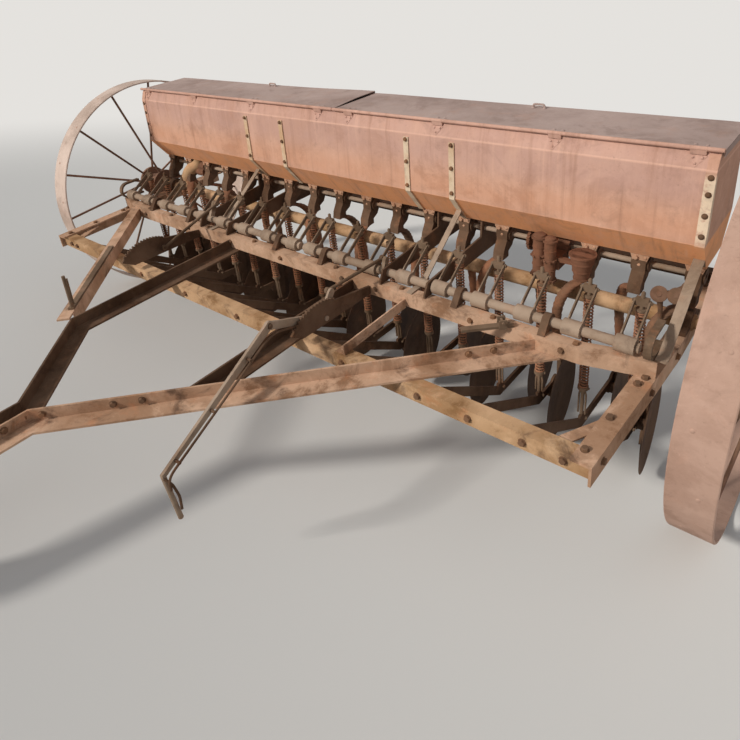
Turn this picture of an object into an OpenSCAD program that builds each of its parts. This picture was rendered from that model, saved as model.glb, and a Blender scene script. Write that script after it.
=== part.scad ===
// Towed seed drill with a long grain box, eighteen disc openers and two tall steel wheels.
// Built square about the axle's centre, then tipped nose down about the axle as it parks.
// Machine frame: X to the right end, Y to the back, Z up, zero at the middle of the axle.

/* [Wheels] */
// Outer diameter of the wheel rims
wheel_dia = 1290; // [1250:5:1300]
// Width of the flat rim band
rim_width = 130; // [100:5:150]
// Thickness of the rim band
rim_thick = 8; // [6:0.5:12]
// Gap between a side member and the hub beside it
wheel_gap = 74; // [66:2:90]
// Number of spokes in a wheel, half of them to each hub flange
spoke_count = 14; // [10:2:18]
// Diameter of a round spoke
spoke_dia = 13; // [10:1:18]
// Length of the wheel hub
hub_length = 200; // [180:2:206]
// Diameter of the hub barrel
hub_dia = 96; // [84:2:110]
// Diameter of the flanges that hold the spokes
hub_flange_dia = 176; // [150:2:200]
// Thickness of a hub flange
hub_flange_thick = 16; // [14:1:20]
/* [Axle] */
// Outer diameter of the axle tube
axle_tube_dia = 60; // [52:1:66]
// Diameter of the stub that carries a wheel
stub_dia = 44; // [36:1:48]
// Clearance round a shaft in its bore
bore_gap = 0.05; // [0.02:0.01:0.09]
// Clearance between pieces that seat on each other
seat_gap = 0.3; // [0.2:0.05:0.4]
/* [Frame] */
// Thickness of the rolled angle bars
angle_thick = 8; // [6:0.5:8]
// Width of the side member's top leg
side_leg = 62; // [56:1:66]
// Depth of the side member's upright leg
side_depth = 70; // [62:1:78]
// Height of the side member's top above the axle's centre
side_top = -10; // [-12:1:-8]
// How far the side members stand inside the box's ends
frame_inset = 12; // [8:1:18]
// How much closer each side member comes at the front beam
frame_splay = 33; // [26:1:40]
// Distance from the axle forward to the front beam's face
beam_reach = 770; // [750:2:790]
// Width of the front beam's top leg
beam_leg = 50; // [46:1:60]
// Depth of the front beam's face
beam_depth = 56; // [48:1:62]
// Distance from the axle forward to the cross rail's face
rail_reach = 400; // [394:1:406]
// Height of the cross rail's face
rail_height = 58; // [54:1:62]
// Width of the cross rail's top leg
rail_leg = 46; // [42:1:50]
// Distance from the axle back to the rear beam's face
rear_reach = 330; // [320:2:340]
/* [Drawbar] */
// Offset of the drawbar's middle from the machine's middle
draw_offset = -67; // [-80:1:-50]
// Half distance between the two straight bars
draw_half = 400; // [390:2:410]
// Distance from the axle to the point where the slanting arms would meet
draw_apex = 1617; // [1600:1:1630]
// Width of an arm's bottom leg
arm_leg = 70; // [60:1:76]
// Height of an arm's upright leg
arm_height = 50; // [44:1:56]
// Half width over the two bars of the tongue
tongue_half = 38; // [36:1:44]
// Distance from the axle to the tongue's front end
tongue_reach = 2250; // [2200:10:2300]
// Diameter of the hitch pin hole
hitch_pin_dia = 27; // [20:1:30]
// Distance from the axle to the hitch pin
hitch_reach = 2335; // [2325:5:2380]
/* [Parking] */
// Angle by which the frame tips nose down on its wheels
park_pitch = 10; // [9:0.5:11]
// Distance from the axle to the parking stand's pin
stand_reach = 2080; // [2040:10:2120]
/* [Box] */
// Room from the middle of the last feed cup to the end of the box
box_room = 33.7; // [33.5:0.1:38]
// Thickness of the box and lid sheets
sheet_thick = 3; // [2.5:0.5:4]
// Height of the box's top edge above the axle
box_top = 621; // [612:1:630]
// Height of the crease under the top band
box_crease = 563; // [555:1:572]
// Height of the lower crease
box_low = 320; // [310:1:330]
// Height of the box's floor
box_floor = 206; // [200:1:212]
// Depth of the box at the top, front to back
box_depth = 280; // [270:2:290]
// How far the crease stands out past the top edge
band_swell = 24; // [18:1:28]
// How far the lower crease stands out past the top edge
low_swell = 35; // [28:1:40]
// Width of the box's floor, front to back
floor_width = 182; // [172:2:192]
// Width of the front straps
strap_width = 24; // [20:1:26]
// Thickness of the front straps
strap_thick = 5; // [4:0.5:7]
/* [Openers] */
// Distance between the feed cups
row_pitch = 177.8; // [174:0.1:178]
// How much closer the openers stand than the cups, inside the side members
row_draw_in = 7.8; // [7.2:0.1:8.6]
// Diameter of a disc blade
disc_dia = 352; // [330:2:360]
// Thickness of a disc blade
disc_thick = 4; // [3:0.5:6]
// Height of the lowest point of a disc above the ground
disc_clear = 35; // [25:1:45]
// Width of a drag bar
drag_width = 36; // [30:1:42]
// Diameter of the rock shaft
rock_dia = 34; // [30:1:38]
// Diameter of a pressure rod
rod_dia = 14; // [12:1:16]
// Outer diameter of a pressure spring
spring_dia = 36; // [30:1:38]
// Number of coils in a pressure spring
spring_coils = 16; // [8:1:20]
// Width of a feed cup over its flange
cup_width = 66; // [58:2:66]
// Diameter of the feed shaft
feed_dia = 20; // [18:1:24]

/* [Hidden] */
$fn = 48;
wheel_r = wheel_dia / 2;
// Seed rows, counted along the box
row_count = 18;
opener_pitch = row_pitch - row_draw_in;
// Widths follow from the rows, from the box out to the wheels
box_half = (row_count - 1) / 2 * row_pitch + box_room;
frame_half_axle = box_half - frame_inset;
frame_half_front = frame_half_axle - frame_splay;
wheel_x = frame_half_axle + wheel_gap + hub_length / 2;
// Rust colours as the photograph shows them
pale_rust = [0.70, 0.52, 0.44];
orange_rust = [0.66, 0.42, 0.28];
mauve_rust = [0.56, 0.45, 0.42];
dark_rust = [0.30, 0.21, 0.17];
// Frame heights
beam_top = side_top - angle_thick;
arm_bottom = beam_top;
arm_top = arm_bottom + arm_height;
rail_top = side_top + rail_height;
// Place of the rock shaft and of the trunnions at the lift arms' tips
rock_y = -rail_reach + 60;
rock_z = rail_top + 29;
tip_y = rock_y + 130;
tip_z = rock_z + 85;
// Rows are counted outwards from the middle, the same on both sides
steps = [0 : row_count / 2 - 1];
// The drag bars and pressure rods stand this far inboard of their openers
rod_inset = 24;
// Box outline in the Y-Z plane, front top edge first
box_front = -35;
box_back = box_front + box_depth;
box_mid = (box_front + box_back) / 2;
floor_front = box_mid - floor_width / 2;
floor_back = box_mid + floor_width / 2;
box_outer = [[box_front, box_top], [box_front - band_swell, box_crease],
    [box_front - low_swell, box_low], [floor_front, box_floor], [floor_back, box_floor],
    [box_back + low_swell, box_low], [box_back + band_swell, box_crease], [box_back, box_top]];
end_thick = 5;
// Lid hinge
hinge_y = box_front - 9;
hinge_z = box_top + 3;
hinge_rod_dia = 8;
hinge_barrel_dia = 14;
lid_half_gap = 3;
lid_skirt = 22;
lid_clear = 5;
// Feed shaft and cups
feed_y = floor_front + 38;
feed_z = box_floor - 48;
cup_drop = 140;
// Hitch head
head_r = 46;
jaw_thick = 14;
jaw_gap = 26;
head_top = arm_bottom + arm_height / 2 + jaw_gap / 2 + jaw_thick;
// The whole part's middle in Y stands at zero: hitch tip in front, wheel rims behind
tip_front = -(hitch_reach + head_r) * cos(park_pitch) - head_top * sin(park_pitch);
origin_y = -(tip_front + wheel_r) / 2;

// Height in the machine frame of a point at y that stands at height h over the ground
function over_ground(y, h) = (h - wheel_r - y * sin(park_pitch)) / cos(park_pitch);
function row_x(step) = (step + 0.5) * row_pitch;
function opener_x(step) = (step + 0.5) * opener_pitch;
function rod_x(step) = opener_x(step) - rod_inset;
// Halfway between two openers, counted in whole pitches from the middle
function between_x(count) = count * opener_pitch - rod_inset;
function disc_y(back) = back ? 80 : -100;
function disc_z(back) = over_ground(disc_y(back), disc_clear + disc_dia / 2);
function unit(v) = v / norm(v);
function normal_of(a, b) = let (d = unit(b - a)) [-d[1], d[0]];
// Offset direction at point i of a path, lengthened so that both sides stay parallel
function mitre(path, i) =
    let (last = len(path) - 1,
         before = normal_of(path[max(i - 1, 0)], path[max(i, 1)]),
         after = normal_of(path[min(i, last - 1)], path[min(i + 1, last)]),
         middle = unit(before + after))
    middle / (middle * after);
function side_of(path, d) = [for (i = [0 : len(path) - 1]) path[i] + d * mitre(path, i)];
function turned(path) = [for (i = [len(path) - 1 : -1 : 0]) path[i]];
function on_circle(centre, r, angle) = centre + r * [cos(angle), sin(angle)];

// A band that follows a path, from offset a to offset b on its left side
module band(path, a, b) {
    polygon(concat(side_of(path, a), turned(side_of(path, b))));
}
// Extrudes an outline drawn in Y and Z from x0 to x1
module across(x0, x1) {
    translate([x0, 0, 0]) rotate([90, 0, 90]) linear_extrude(x1 - x0) children();
}
// A round bar along X
module shaft(x0, x1, y, z, d) {
    translate([x0, y, z]) rotate([0, 90, 0]) cylinder(h = x1 - x0, d = d);
}
// A round bar from a to b
module rod(a, b, d) {
    v = b - a;
    translate(a) rotate([0, acos(v[2] / norm(v)), atan2(v[1], v[0])]) cylinder(h = norm(v), d = d);
}
// A block given by its lowest and highest corners
module block(low, high) {
    translate(low) cube(high - low);
}
// Tips the machine frame into its parked place
module parked() {
    translate([0, origin_y, wheel_r]) rotate([park_pitch, 0, 0]) children();
}
// The left side is the right side's mirror image
module on_side(side) {
    if (side > 0) children();
    else mirror([1, 0, 0]) children();
}
module both_ends() {
    for (side = [-1, 1]) on_side(side) children();
}
// Every row: $step counts outwards, $back tells the rows whose discs stand further back
module each_row() {
    for (side = [-1, 1], $step = steps) {
        $back = ($step + (side > 0 ? 0 : 1)) % 2 == 1;
        on_side(side) children();
    }
}

// Frame

module front_beam() {
    half = frame_half_front - angle_thick - seat_gap;
    color(orange_rust) parked() difference() {
        block([-half, -beam_reach, beam_top - beam_depth], [half, -beam_reach + beam_leg, beam_top]);
        block([-half - 1, -beam_reach + angle_thick, beam_top - beam_depth - 1],
            [half + 1, -beam_reach + beam_leg + 1, beam_top - angle_thick]);
    }
}
// Outer face of the right side member seen from above, splayed forward of the axle
side_path = [[frame_half_front, -beam_reach - 20], [frame_half_axle, -120],
    [frame_half_axle, rear_reach + 2]];
module axle_hole() {
    shaft(-wheel_x, wheel_x, 0, 0, axle_tube_dia + 2 * bore_gap);
}
module side_members() {
    color(pale_rust) parked() difference() {
        both_ends() {
            translate([0, 0, side_top - angle_thick]) linear_extrude(angle_thick)
                band(side_path, 0, side_leg);
            translate([0, 0, side_top - side_depth]) linear_extrude(side_depth)
                band(side_path, 0, angle_thick);
        }
        axle_hole();
    }
}
rail_end_x = frame_half_axle - 13;
rail_bend_x = rail_end_x - 220;
rail_path = [[-rail_end_x, -rail_reach + 50], [-rail_bend_x, -rail_reach],
    [rail_bend_x, -rail_reach], [rail_end_x, -rail_reach + 50]];
module cross_rail() {
    color(pale_rust) parked() {
        translate([0, 0, side_top]) linear_extrude(rail_height) band(rail_path, 0, angle_thick);
        translate([0, 0, rail_top - angle_thick]) linear_extrude(angle_thick)
            band(rail_path, 0, rail_leg);
    }
}
// Hoops that stand on the rail's bent ends, and a stub bar with cheeks that reaches forward of it
hoop_x = box_half - 63;
hoop_width = 24;
hoop_thick = 10;
hoop_r = 41.7;
hoop_y = -rail_reach + 70;
stub_bar = [182, 24, 10];
stub_place = [1034, -rail_reach - 11];
stub_turn = 42;
stub_cheek = [28, 7, 34];
module rail_fittings() {
    low = rail_top + seat_gap;
    centre = [hoop_y, low + hoop_thick / 2 + hoop_r];
    round_part = [for (angle = [270 : -15 : 90]) on_circle(centre, hoop_r, angle)];
    hoop = concat([[hoop_y + 90, centre[1] - hoop_r]], round_part, [[hoop_y + 80, centre[1] + hoop_r]]);
    color(mauve_rust) parked() {
        both_ends() across(hoop_x, hoop_x + hoop_width) band(hoop, -hoop_thick / 2, hoop_thick / 2);
        translate([stub_place[0], stub_place[1], low]) rotate([0, 0, stub_turn]) {
            translate([40 - stub_bar[0], -stub_bar[1] / 2, 0]) cube(stub_bar);
            for (y = [-stub_bar[1] / 2 - stub_cheek[1] + 1, stub_bar[1] / 2 - 1])
                translate([-stub_cheek[0] / 2, y, 0]) cube(stub_cheek);
            translate([0, stub_bar[1], stub_cheek[2] - 9]) rotate([90, 0, 0])
                cylinder(h = 2 * stub_bar[1], d = 10);
        }
    }
}
module rear_beam() {
    half = frame_half_axle - 6;
    color(dark_rust) parked() difference() {
        block([-half, rear_reach - rail_leg, side_top], [half, rear_reach, rail_top]);
        block([-half - 1, rear_reach - rail_leg - 1, side_top - 1],
            [half + 1, rear_reach - angle_thick, rail_top - angle_thick]);
    }
}
// An angle from the front beam back to the rail, and gussets under the beam's two corners
brace_x = 570;
brace_leg = 40;
brace_thick = 6;
gusset_width = 34;
gusset_path = [[frame_half_front - 128, -beam_reach + 22], [frame_half_front - 38, -beam_reach + 180]];
module beam_braces() {
    low = beam_top + seat_gap;
    under = beam_top - angle_thick - seat_gap;
    color(pale_rust) parked() {
        block([brace_x, -beam_reach + 10, low], [brace_x + brace_leg, -rail_reach - seat_gap,
            low + brace_thick]);
        block([brace_x + brace_leg - brace_thick, -beam_reach + 10, low],
            [brace_x + brace_leg, -rail_reach - seat_gap, low + brace_leg]);
        both_ends() translate([0, 0, under - brace_thick]) linear_extrude(brace_thick)
            band(gusset_path, -gusset_width / 2, gusset_width / 2);
    }
}
// The axle tube, its stubs and the collars that keep the hubs in place
collar_dia = 68;
collar_thick = 9;
hub_play = 1;
stub_rest = 26;
module axle() {
    tube_half = frame_half_axle + 6;
    hub_inner = wheel_x - hub_length / 2 - hub_play;
    hub_outer = wheel_x + hub_length / 2 + hub_play;
    color(orange_rust) translate([0, origin_y, wheel_r]) {
        shaft(-tube_half, tube_half, 0, 0, axle_tube_dia);
        both_ends() {
            shaft(tube_half - 20, hub_outer + stub_rest, 0, 0, stub_dia);
            shaft(hub_inner - collar_thick, hub_inner, 0, 0, collar_dia);
            shaft(hub_outer, hub_outer + collar_thick, 0, 0, collar_dia);
        }
    }
}
// Caps that hold the axle tube down in the notches of the side members
cap_width = 40;
cap_wall = 20;
cap_foot = 36;
cap_foot_height = 16;
module axle_caps() {
    boss_r = axle_tube_dia / 2 + cap_wall;
    color(dark_rust) parked() difference() {
        both_ends() across(frame_half_axle - cap_width, frame_half_axle) {
            intersection() {
                circle(r = boss_r);
                translate([-boss_r, side_top]) square([2 * boss_r, boss_r + cap_wall]);
            }
            translate([-boss_r - cap_foot, side_top])
                square([2 * (boss_r + cap_foot), cap_foot_height]);
        }
        axle_hole();
    }
}

// Drawbar

// On the slanting arms, the distance from the drawbar's middle is the apex plus y
function slant_x(y) = draw_apex + y;
tongue_kink_y = tongue_half - draw_apex;
bar_kink_y = draw_half - draw_apex;
slant_start = -rail_reach + 60;
module behind_rail() {
    block([-draw_apex, -rail_reach - seat_gap, -rail_reach], [draw_apex, 0, rail_reach]);
}
// An angle with its upright leg between offsets u0 and u1 and its bottom leg between b0 and b1
module angle_up(path, u0, u1, b0, b1) {
    translate([0, 0, arm_bottom]) linear_extrude(arm_height) band(path, u0, u1);
    translate([0, 0, arm_bottom]) linear_extrude(angle_thick) band(path, b0, b1);
}
module drawbar_arm_right() {
    path = [[draw_offset + slant_x(slant_start), slant_start],
        [draw_offset + tongue_half, tongue_kink_y], [draw_offset + tongue_half, -tongue_reach]];
    color(pale_rust) parked() difference() {
        angle_up(path, -angle_thick, 0, -angle_thick, arm_leg - angle_thick);
        behind_rail();
    }
}
module drawbar_arm_left() {
    path = [[draw_offset - draw_half, -rail_reach - seat_gap], [draw_offset - draw_half, bar_kink_y],
        [draw_offset - tongue_half, tongue_kink_y], [draw_offset - tongue_half, -tongue_reach]];
    leg = min(arm_leg, 2 * tongue_half - angle_thick) - seat_gap;
    color(dark_rust) parked() angle_up(path, 0, angle_thick, 0, leg);
}
diagonal_leg = 50;
module drawbar_diagonal_left() {
    flat_end = bar_kink_y - 8;
    leg_end = bar_kink_y + 32;
    start = [draw_offset - slant_x(slant_start), slant_start];
    color(mauve_rust) parked() difference() {
        union() {
            translate([0, 0, arm_top + seat_gap]) linear_extrude(angle_thick)
                band([start, [draw_offset - slant_x(flat_end), flat_end]], -diagonal_leg, 0);
            translate([0, 0, arm_bottom]) linear_extrude(arm_height + 1)
                band([start, [draw_offset - slant_x(leg_end), leg_end]], -angle_thick, 0);
        }
        behind_rail();
    }
}
bar_x = draw_offset + draw_half;
module drawbar_bar_right() {
    // Y of the right arm's inner face at a given x, less the seating gap
    function arm_face(x) = x - draw_offset - draw_apex + (angle_thick + seat_gap) * sqrt(2);
    module plan(x1) {
        polygon([[bar_x, -rail_reach - seat_gap], [x1, -rail_reach - seat_gap], [x1, arm_face(x1)],
            [bar_x, arm_face(bar_x)]]);
    }
    color(dark_rust) parked() translate([0, 0, arm_bottom]) {
        linear_extrude(arm_height) plan(bar_x + angle_thick);
        linear_extrude(angle_thick) plan(bar_x + arm_leg);
    }
}
shank_length = 150;
module hitch_clevis() {
    shank_half = tongue_half - angle_thick - seat_gap;
    mid_z = arm_bottom + arm_height / 2;
    shank_low = arm_bottom + angle_thick + seat_gap;
    jaw_low = mid_z - jaw_gap / 2 - jaw_thick;
    color(dark_rust) parked() translate([draw_offset, 0, 0]) difference() {
        union() {
            block([-shank_half, -tongue_reach - 2, shank_low],
                [shank_half, -tongue_reach + shank_length, arm_top - 4]);
            for (low = [jaw_low, mid_z + jaw_gap / 2]) {
                translate([0, -hitch_reach, low]) cylinder(h = jaw_thick, r = head_r);
                block([-head_r, -hitch_reach, low], [head_r, -tongue_reach - 1, low + jaw_thick]);
            }
            block([-head_r, -tongue_reach - 22, jaw_low], [head_r, -tongue_reach - 1, head_top]);
        }
        translate([0, -hitch_reach, jaw_low - 1]) cylinder(h = head_top - jaw_low + 2, d = hitch_pin_dia);
    }
}
// Parking stand: a bracket under the tongue and a leg that hangs upright from its pin
stand_pin_dia = 16;
stand_lug_gap = 52;
stand_lug_thick = 8;
stand_leg_width = 46;
stand_drop = 36;
stand_plate = [124, 100, 8];
stand_foot = [170, 150, 9];
stand_x = draw_offset + arm_leg / 2 - angle_thick / 2;
plate_z = arm_bottom - seat_gap;
stand_z = plate_z - stand_drop;
module stand_bracket() {
    color(dark_rust) parked() translate([stand_x, -stand_reach, 0]) {
        translate([-stand_plate[0] / 2, -stand_plate[1] / 2, plate_z - stand_plate[2]]) cube(stand_plate);
        both_ends() block([stand_lug_gap / 2, -28, stand_z - 22],
            [stand_lug_gap / 2 + stand_lug_thick, 28, plate_z - 4]);
        shaft(-stand_lug_gap / 2 - 14, stand_lug_gap / 2 + 14, 0, stand_z, stand_pin_dia);
    }
}
module stand_leg() {
    height = wheel_r - stand_reach * sin(park_pitch) + stand_z * cos(park_pitch);
    half = stand_leg_width / 2;
    color(dark_rust) parked() translate([stand_x, -stand_reach, stand_z]) rotate([-park_pitch, 0, 0])
        difference() {
            union() {
                block([-half, -half, 4 - height], [half, half, 18]);
                translate([-stand_foot[0] / 2, -stand_foot[1] / 2, -height]) cube(stand_foot);
            }
            shaft(-100, 100, 0, 0, stand_pin_dia + 2 * bore_gap);
        }
}

// Grain box

// Each end is folded over the front panels
fold_width = 30;
fold_thick = 2.5;
fold_start = 0.2;
module box_end() {
    corner = box_outer[0] * (1 - fold_start) + box_outer[1] * fold_start;
    front = [corner, box_outer[1], box_outer[2], box_outer[3]];
    color(pale_rust) parked() {
        across(box_half - end_thick, box_half) {
            polygon(box_outer);
            band(front, -seat_gap - fold_thick, 1);
        }
        across(box_half - fold_width, box_half) band(front, -seat_gap - fold_thick, -seat_gap);
    }
}
module box_end_left() {
    mirror([1, 0, 0]) box_end();
}
module box_end_right() {
    box_end();
}
module grain_box() {
    color(pale_rust) parked() across(end_thick - box_half, box_half - end_thick)
        band(box_outer, 0, sheet_thick);
}
// Straps that follow the box from the crease to the floor, in front and behind
strap_rows = [-600, -340, 410, 628];
strap_stop = 0.06;
module box_straps() {
    front = [box_outer[1] * (1 - strap_stop) + box_outer[2] * strap_stop, box_outer[2], box_outer[3]];
    back = [box_outer[4], box_outer[5], box_outer[6] * (1 - strap_stop) + box_outer[5] * strap_stop];
    color(orange_rust) parked() for (x = strap_rows)
        across(x - strap_width / 2, x + strap_width / 2) {
            band(front, -seat_gap - strap_thick, -seat_gap);
            band(back, -seat_gap - strap_thick, -seat_gap);
        }
}
// Flat struts from the rail to the slanting panel: two on straps, one on the folded right end
strut_rows = [-618, 628];
strut_foot_y = -rail_reach + 4;
strut_bend_y = rock_y + 35;
strut_top_length = 34;
end_strut_x = box_half - 36;
end_strut_width = 34;
end_foot_y = -rail_reach + 60;
end_bend_y = end_foot_y + 32;
// A bent strut from foot to bend, then up to stand out from the panel
module strut(foot, bend, out) {
    low = rail_top + seat_gap;
    lean = unit(box_outer[3] - box_outer[2]);
    inward = [-lean[1], lean[0]];
    top = box_outer[2] * 0.4 + box_outer[3] * 0.6 - inward * (out + seat_gap + strap_thick);
    band([[foot, low], [bend, low], top, top + lean * strut_top_length], 0, strap_thick);
}
module box_struts() {
    color(mauve_rust) parked() {
        for (x = strut_rows) across(x - strap_width / 2, x + strap_width / 2)
            strut(strut_foot_y, strut_bend_y, seat_gap + strap_thick);
        across(end_strut_x, end_strut_x + end_strut_width)
            strut(end_foot_y, end_bend_y, seat_gap + fold_thick);
    }
}
// Deep sills from the rail over the axle to the rear beam, bored for both shafts
sill_rows = [between_x(3), 4 * row_pitch - 12];
sill_thick = 8;
module box_sills() {
    low = rail_top + seat_gap;
    high = box_floor - seat_gap;
    outline = [[-rail_reach + 4, low], [-rail_reach + 4, low + 12], [rock_y - 32, rock_z + 28],
        [floor_front + 6, low + 80], [floor_front + 16, high], [floor_back - 16, high],
        [floor_back + 34, low + 52], [rear_reach, low + 30], [rear_reach, low]];
    color(dark_rust) parked() both_ends() for (x = sill_rows)
        across(x - sill_thick / 2, x + sill_thick / 2) difference() {
            polygon(outline);
            translate([feed_y, feed_z]) circle(d = feed_dia + 2 * bore_gap);
            translate([rock_y, rock_z]) circle(d = rock_dia + 2 * bore_gap);
        }
}

// Lids

lid_low = box_top + seat_gap;
lid_top = lid_low + sheet_thick;
lid_back = box_back + band_swell * lid_skirt / (box_top - box_crease) + lid_clear;
lid_end = box_half + lid_clear;
knuckles = [for (share = [0.06, 0.36, 0.67, 0.96]) share * box_half];
knuckle_length = 46;
handle_left = 690;
handle_right = 845;
handle_length = 46;
handle_height = 17;
handle_dia = 8;
module lid(handle_x) {
    length = lid_end + sheet_thick - lid_half_gap;
    color(mauve_rust) parked() {
        difference() {
            union() {
                translate([lid_half_gap, hinge_y + 2, lid_low])
                    cube([length, lid_back + sheet_thick - hinge_y - 2, sheet_thick]);
                translate([lid_half_gap, lid_back, lid_low - lid_skirt])
                    cube([length, sheet_thick, lid_skirt + 1]);
                translate([lid_end, hinge_y + 14, lid_low - lid_skirt])
                    cube([sheet_thick, lid_back - hinge_y - 13, lid_skirt + 1]);
                shaft(lid_half_gap, lid_end + sheet_thick, hinge_y, hinge_z, hinge_barrel_dia);
            }
            shaft(0, lid_end + 10, hinge_y, hinge_z, hinge_rod_dia + 2 * bore_gap);
            for (k = knuckles) translate([k - knuckle_length / 2 - 0.5, hinge_y - 12, hinge_z - 12])
                cube([knuckle_length + 1, 22, 24]);
        }
        translate([handle_x, lid_back - 30, lid_top - 1]) {
            both_ends() rod([handle_length / 2, 0, 0], [handle_length / 2, 0, handle_height], handle_dia);
            shaft(-handle_length / 2, handle_length / 2, 0, handle_height, handle_dia);
        }
    }
}
module lid_left() {
    mirror([1, 0, 0]) lid(handle_left);
}
module lid_right() {
    lid(handle_right);
}
// The hinge rod, with knuckles whose leaves lie on the box's top band
leaf_thick = 4;
leaf_end = 0.3;
module lid_hinge_rod() {
    inward = normal_of(box_outer[0], box_outer[1]);
    function on_band(share, out) = box_outer[0] * (1 - share) + box_outer[1] * share - out * inward;
    color(dark_rust) parked() {
        shaft(-box_half, box_half, hinge_y, hinge_z, hinge_rod_dia);
        both_ends() for (k = knuckles) {
            shaft(k - knuckle_length / 2, k + knuckle_length / 2, hinge_y, hinge_z, hinge_barrel_dia);
            across(k - knuckle_length / 2, k + knuckle_length / 2)
                polygon([[hinge_y - 6, hinge_z - 2], [hinge_y + 5, hinge_z - 4], on_band(0.1, seat_gap),
                    on_band(leaf_end, seat_gap), on_band(leaf_end, seat_gap + leaf_thick)]);
        }
    }
}

// Feed

cup_body = 46;
cup_boss_dia = 60;
cup_foot_width = 48;
// A cup: a body that narrows to its foot, a round boss along the shaft and a flange in front
module feed_cup() {
    top = box_floor - seat_gap;
    foot = box_floor - cup_drop;
    front = feed_y - 24 - cup_foot_width;
    flange_low = feed_z - 8;
    difference() {
        union() {
            across(-cup_body / 2, cup_body / 2)
                polygon([[feed_y - 34, top], [feed_y + 36, top], [feed_y + 36, flange_low],
                    [feed_y + 8, foot + 39], [feed_y - 24, foot + 24], [feed_y - 24, foot],
                    [front, foot], [front + 8, foot + 34], [feed_y - 38, flange_low - 10]]);
            shaft(-cup_width / 2 + 3, cup_width / 2 - 3, feed_y, feed_z, cup_boss_dia);
            translate([0, feed_y - 28, 0]) rotate([90, 0, 0]) linear_extrude(6)
                polygon([[-cup_width / 2, top], [cup_width / 2, top], [18, flange_low],
                    [-18, flange_low]]);
        }
        shaft(-cup_width, cup_width, feed_y, feed_z, feed_dia + 2 * bore_gap);
    }
}
module feed_cups() {
    color(dark_rust) parked() each_row() translate([row_x($step), 0, 0]) feed_cup();
}
module feed_shaft() {
    color(mauve_rust) parked() shaft(12 - box_half, box_half - 12, feed_y, feed_z, feed_dia);
}
gear_dia = 94;
gear_teeth = 22;
gear_width = 12;
// A toothed wheel with round holes in its web, on the feed shaft
module gear(x) {
    translate([x, feed_y, feed_z]) rotate([0, 90, 0]) difference() {
        union() {
            cylinder(h = gear_width, d = gear_dia - 10);
            for (i = [1 : gear_teeth]) rotate([0, 0, i * 360 / gear_teeth])
                translate([gear_dia / 2 - 8, -2.5, 0]) cube([8, 5, gear_width]);
            cylinder(h = gear_width + 12, d = feed_dia + 22);
        }
        for (i = [1 : 6]) rotate([0, 0, i * 60]) translate([gear_dia * 0.32, 0, -1])
            cylinder(h = gear_width + 2, d = gear_dia * 0.13);
        translate([0, 0, -1]) cylinder(h = gear_width + 20, d = feed_dia + 2 * bore_gap);
    }
}
// A lobed gear housing on the feed shaft
module gear_housing(x) {
    difference() {
        union() {
            shaft(x, x + 84, feed_y, feed_z, 64);
            shaft(x + 8, x + 76, feed_y - 14, feed_z - 32, 54);
            shaft(x + 20, x + 92, feed_y + 14, feed_z - 48, 42);
        }
        shaft(x - 1, x + 100, feed_y, feed_z, feed_dia + 2 * bore_gap);
    }
}
// Two upright lobes in front of the shaft, joined to a bored boss on it, and a funnel beside them
lobe_y = -60;
lobe_low = 56;
lobe_high = 230;
funnel = [140, -42, 90];
module lobed_drive(x) {
    difference() {
        union() {
            shaft(x, x + 59, feed_y, feed_z, 64);
            block([x - 28, lobe_y + 5, feed_z - 50], [x + 20, lobe_y + 28, feed_z - 10]);
            block([x + 4, lobe_y + 8, feed_z - 54], [x + 56, feed_y - 14, feed_z - 6]);
            translate([x - 18, lobe_y, lobe_low + 20]) cylinder(h = lobe_high - lobe_low - 14, r = 24);
            translate([x + 24, lobe_y, lobe_low]) cylinder(h = lobe_high - lobe_low, r = 22);
            translate([x + funnel[0], funnel[1], funnel[2]]) cylinder(h = 100, r1 = 26, r2 = 46);
            block([x + 40, funnel[1] - 9, feed_z - 20], [x + funnel[0] - 8, funnel[1] + 9, feed_z - 4]);
        }
        shaft(x - 1, x + 80, feed_y, feed_z, feed_dia + 2 * bore_gap);
    }
}
module feed_drive_right() {
    color(orange_rust) parked() {
        gear(row_x(4) + cup_width / 2 + 76);
        lobed_drive(row_x(5) + cup_width / 2 + 5);
    }
}
module feed_drive_left() {
    color(orange_rust) parked() mirror([1, 0, 0]) gear_housing(row_x(6) + cup_width / 2 + 9);
}

// Seed tubes: rings along a curve from each cup, round the axle tube, to its boot

tube_rings = 8;
tube_sides = 10;
tube_wide = 24;
tube_narrow = 17;
boot_back = 60;
boot_top = 128;
function curve(a, b, c, t) = a * (1 - t) * (1 - t) + b * 2 * t * (1 - t) + c * t * t;
function tube_point(step, back, t) =
    let (lean = row_x(step) - opener_x(step),
         start = [row_x(step), feed_y - 48, box_floor - cup_drop - seat_gap],
         knee = [opener_x(step) - 1.2 * lean, back ? 165 : -122, 46],
         end = [opener_x(step) - 10, disc_y(back) + boot_back, disc_z(back) + boot_top + seat_gap])
    curve(start, knee, end, t);
module seed_tube(step, back) {
    n = tube_sides;
    points = [for (k = [0 : tube_rings], s = [0 : n - 1])
        let (t = k / tube_rings, r = tube_wide * (1 - t) + tube_narrow * t, a = s * 360 / n)
        tube_point(step, back, t) + r * [cos(a), sin(a), 0]];
    sides = [for (k = [0 : tube_rings - 1], s = [0 : n - 1])
        let (here = k * n + s, next = k * n + (s + 1) % n) [here, next, next + n, here + n]];
    first = [for (s = [n - 1 : -1 : 0]) s];
    last = [for (s = [0 : n - 1]) tube_rings * n + s];
    polyhedron(points, concat([first], sides, [last]), convexity = 4);
}
module seed_tubes() {
    color(orange_rust) parked() each_row() seed_tube($step, $back);
}

// Lift: rock shafts with paired arms, bearings, pressure rods

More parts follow.
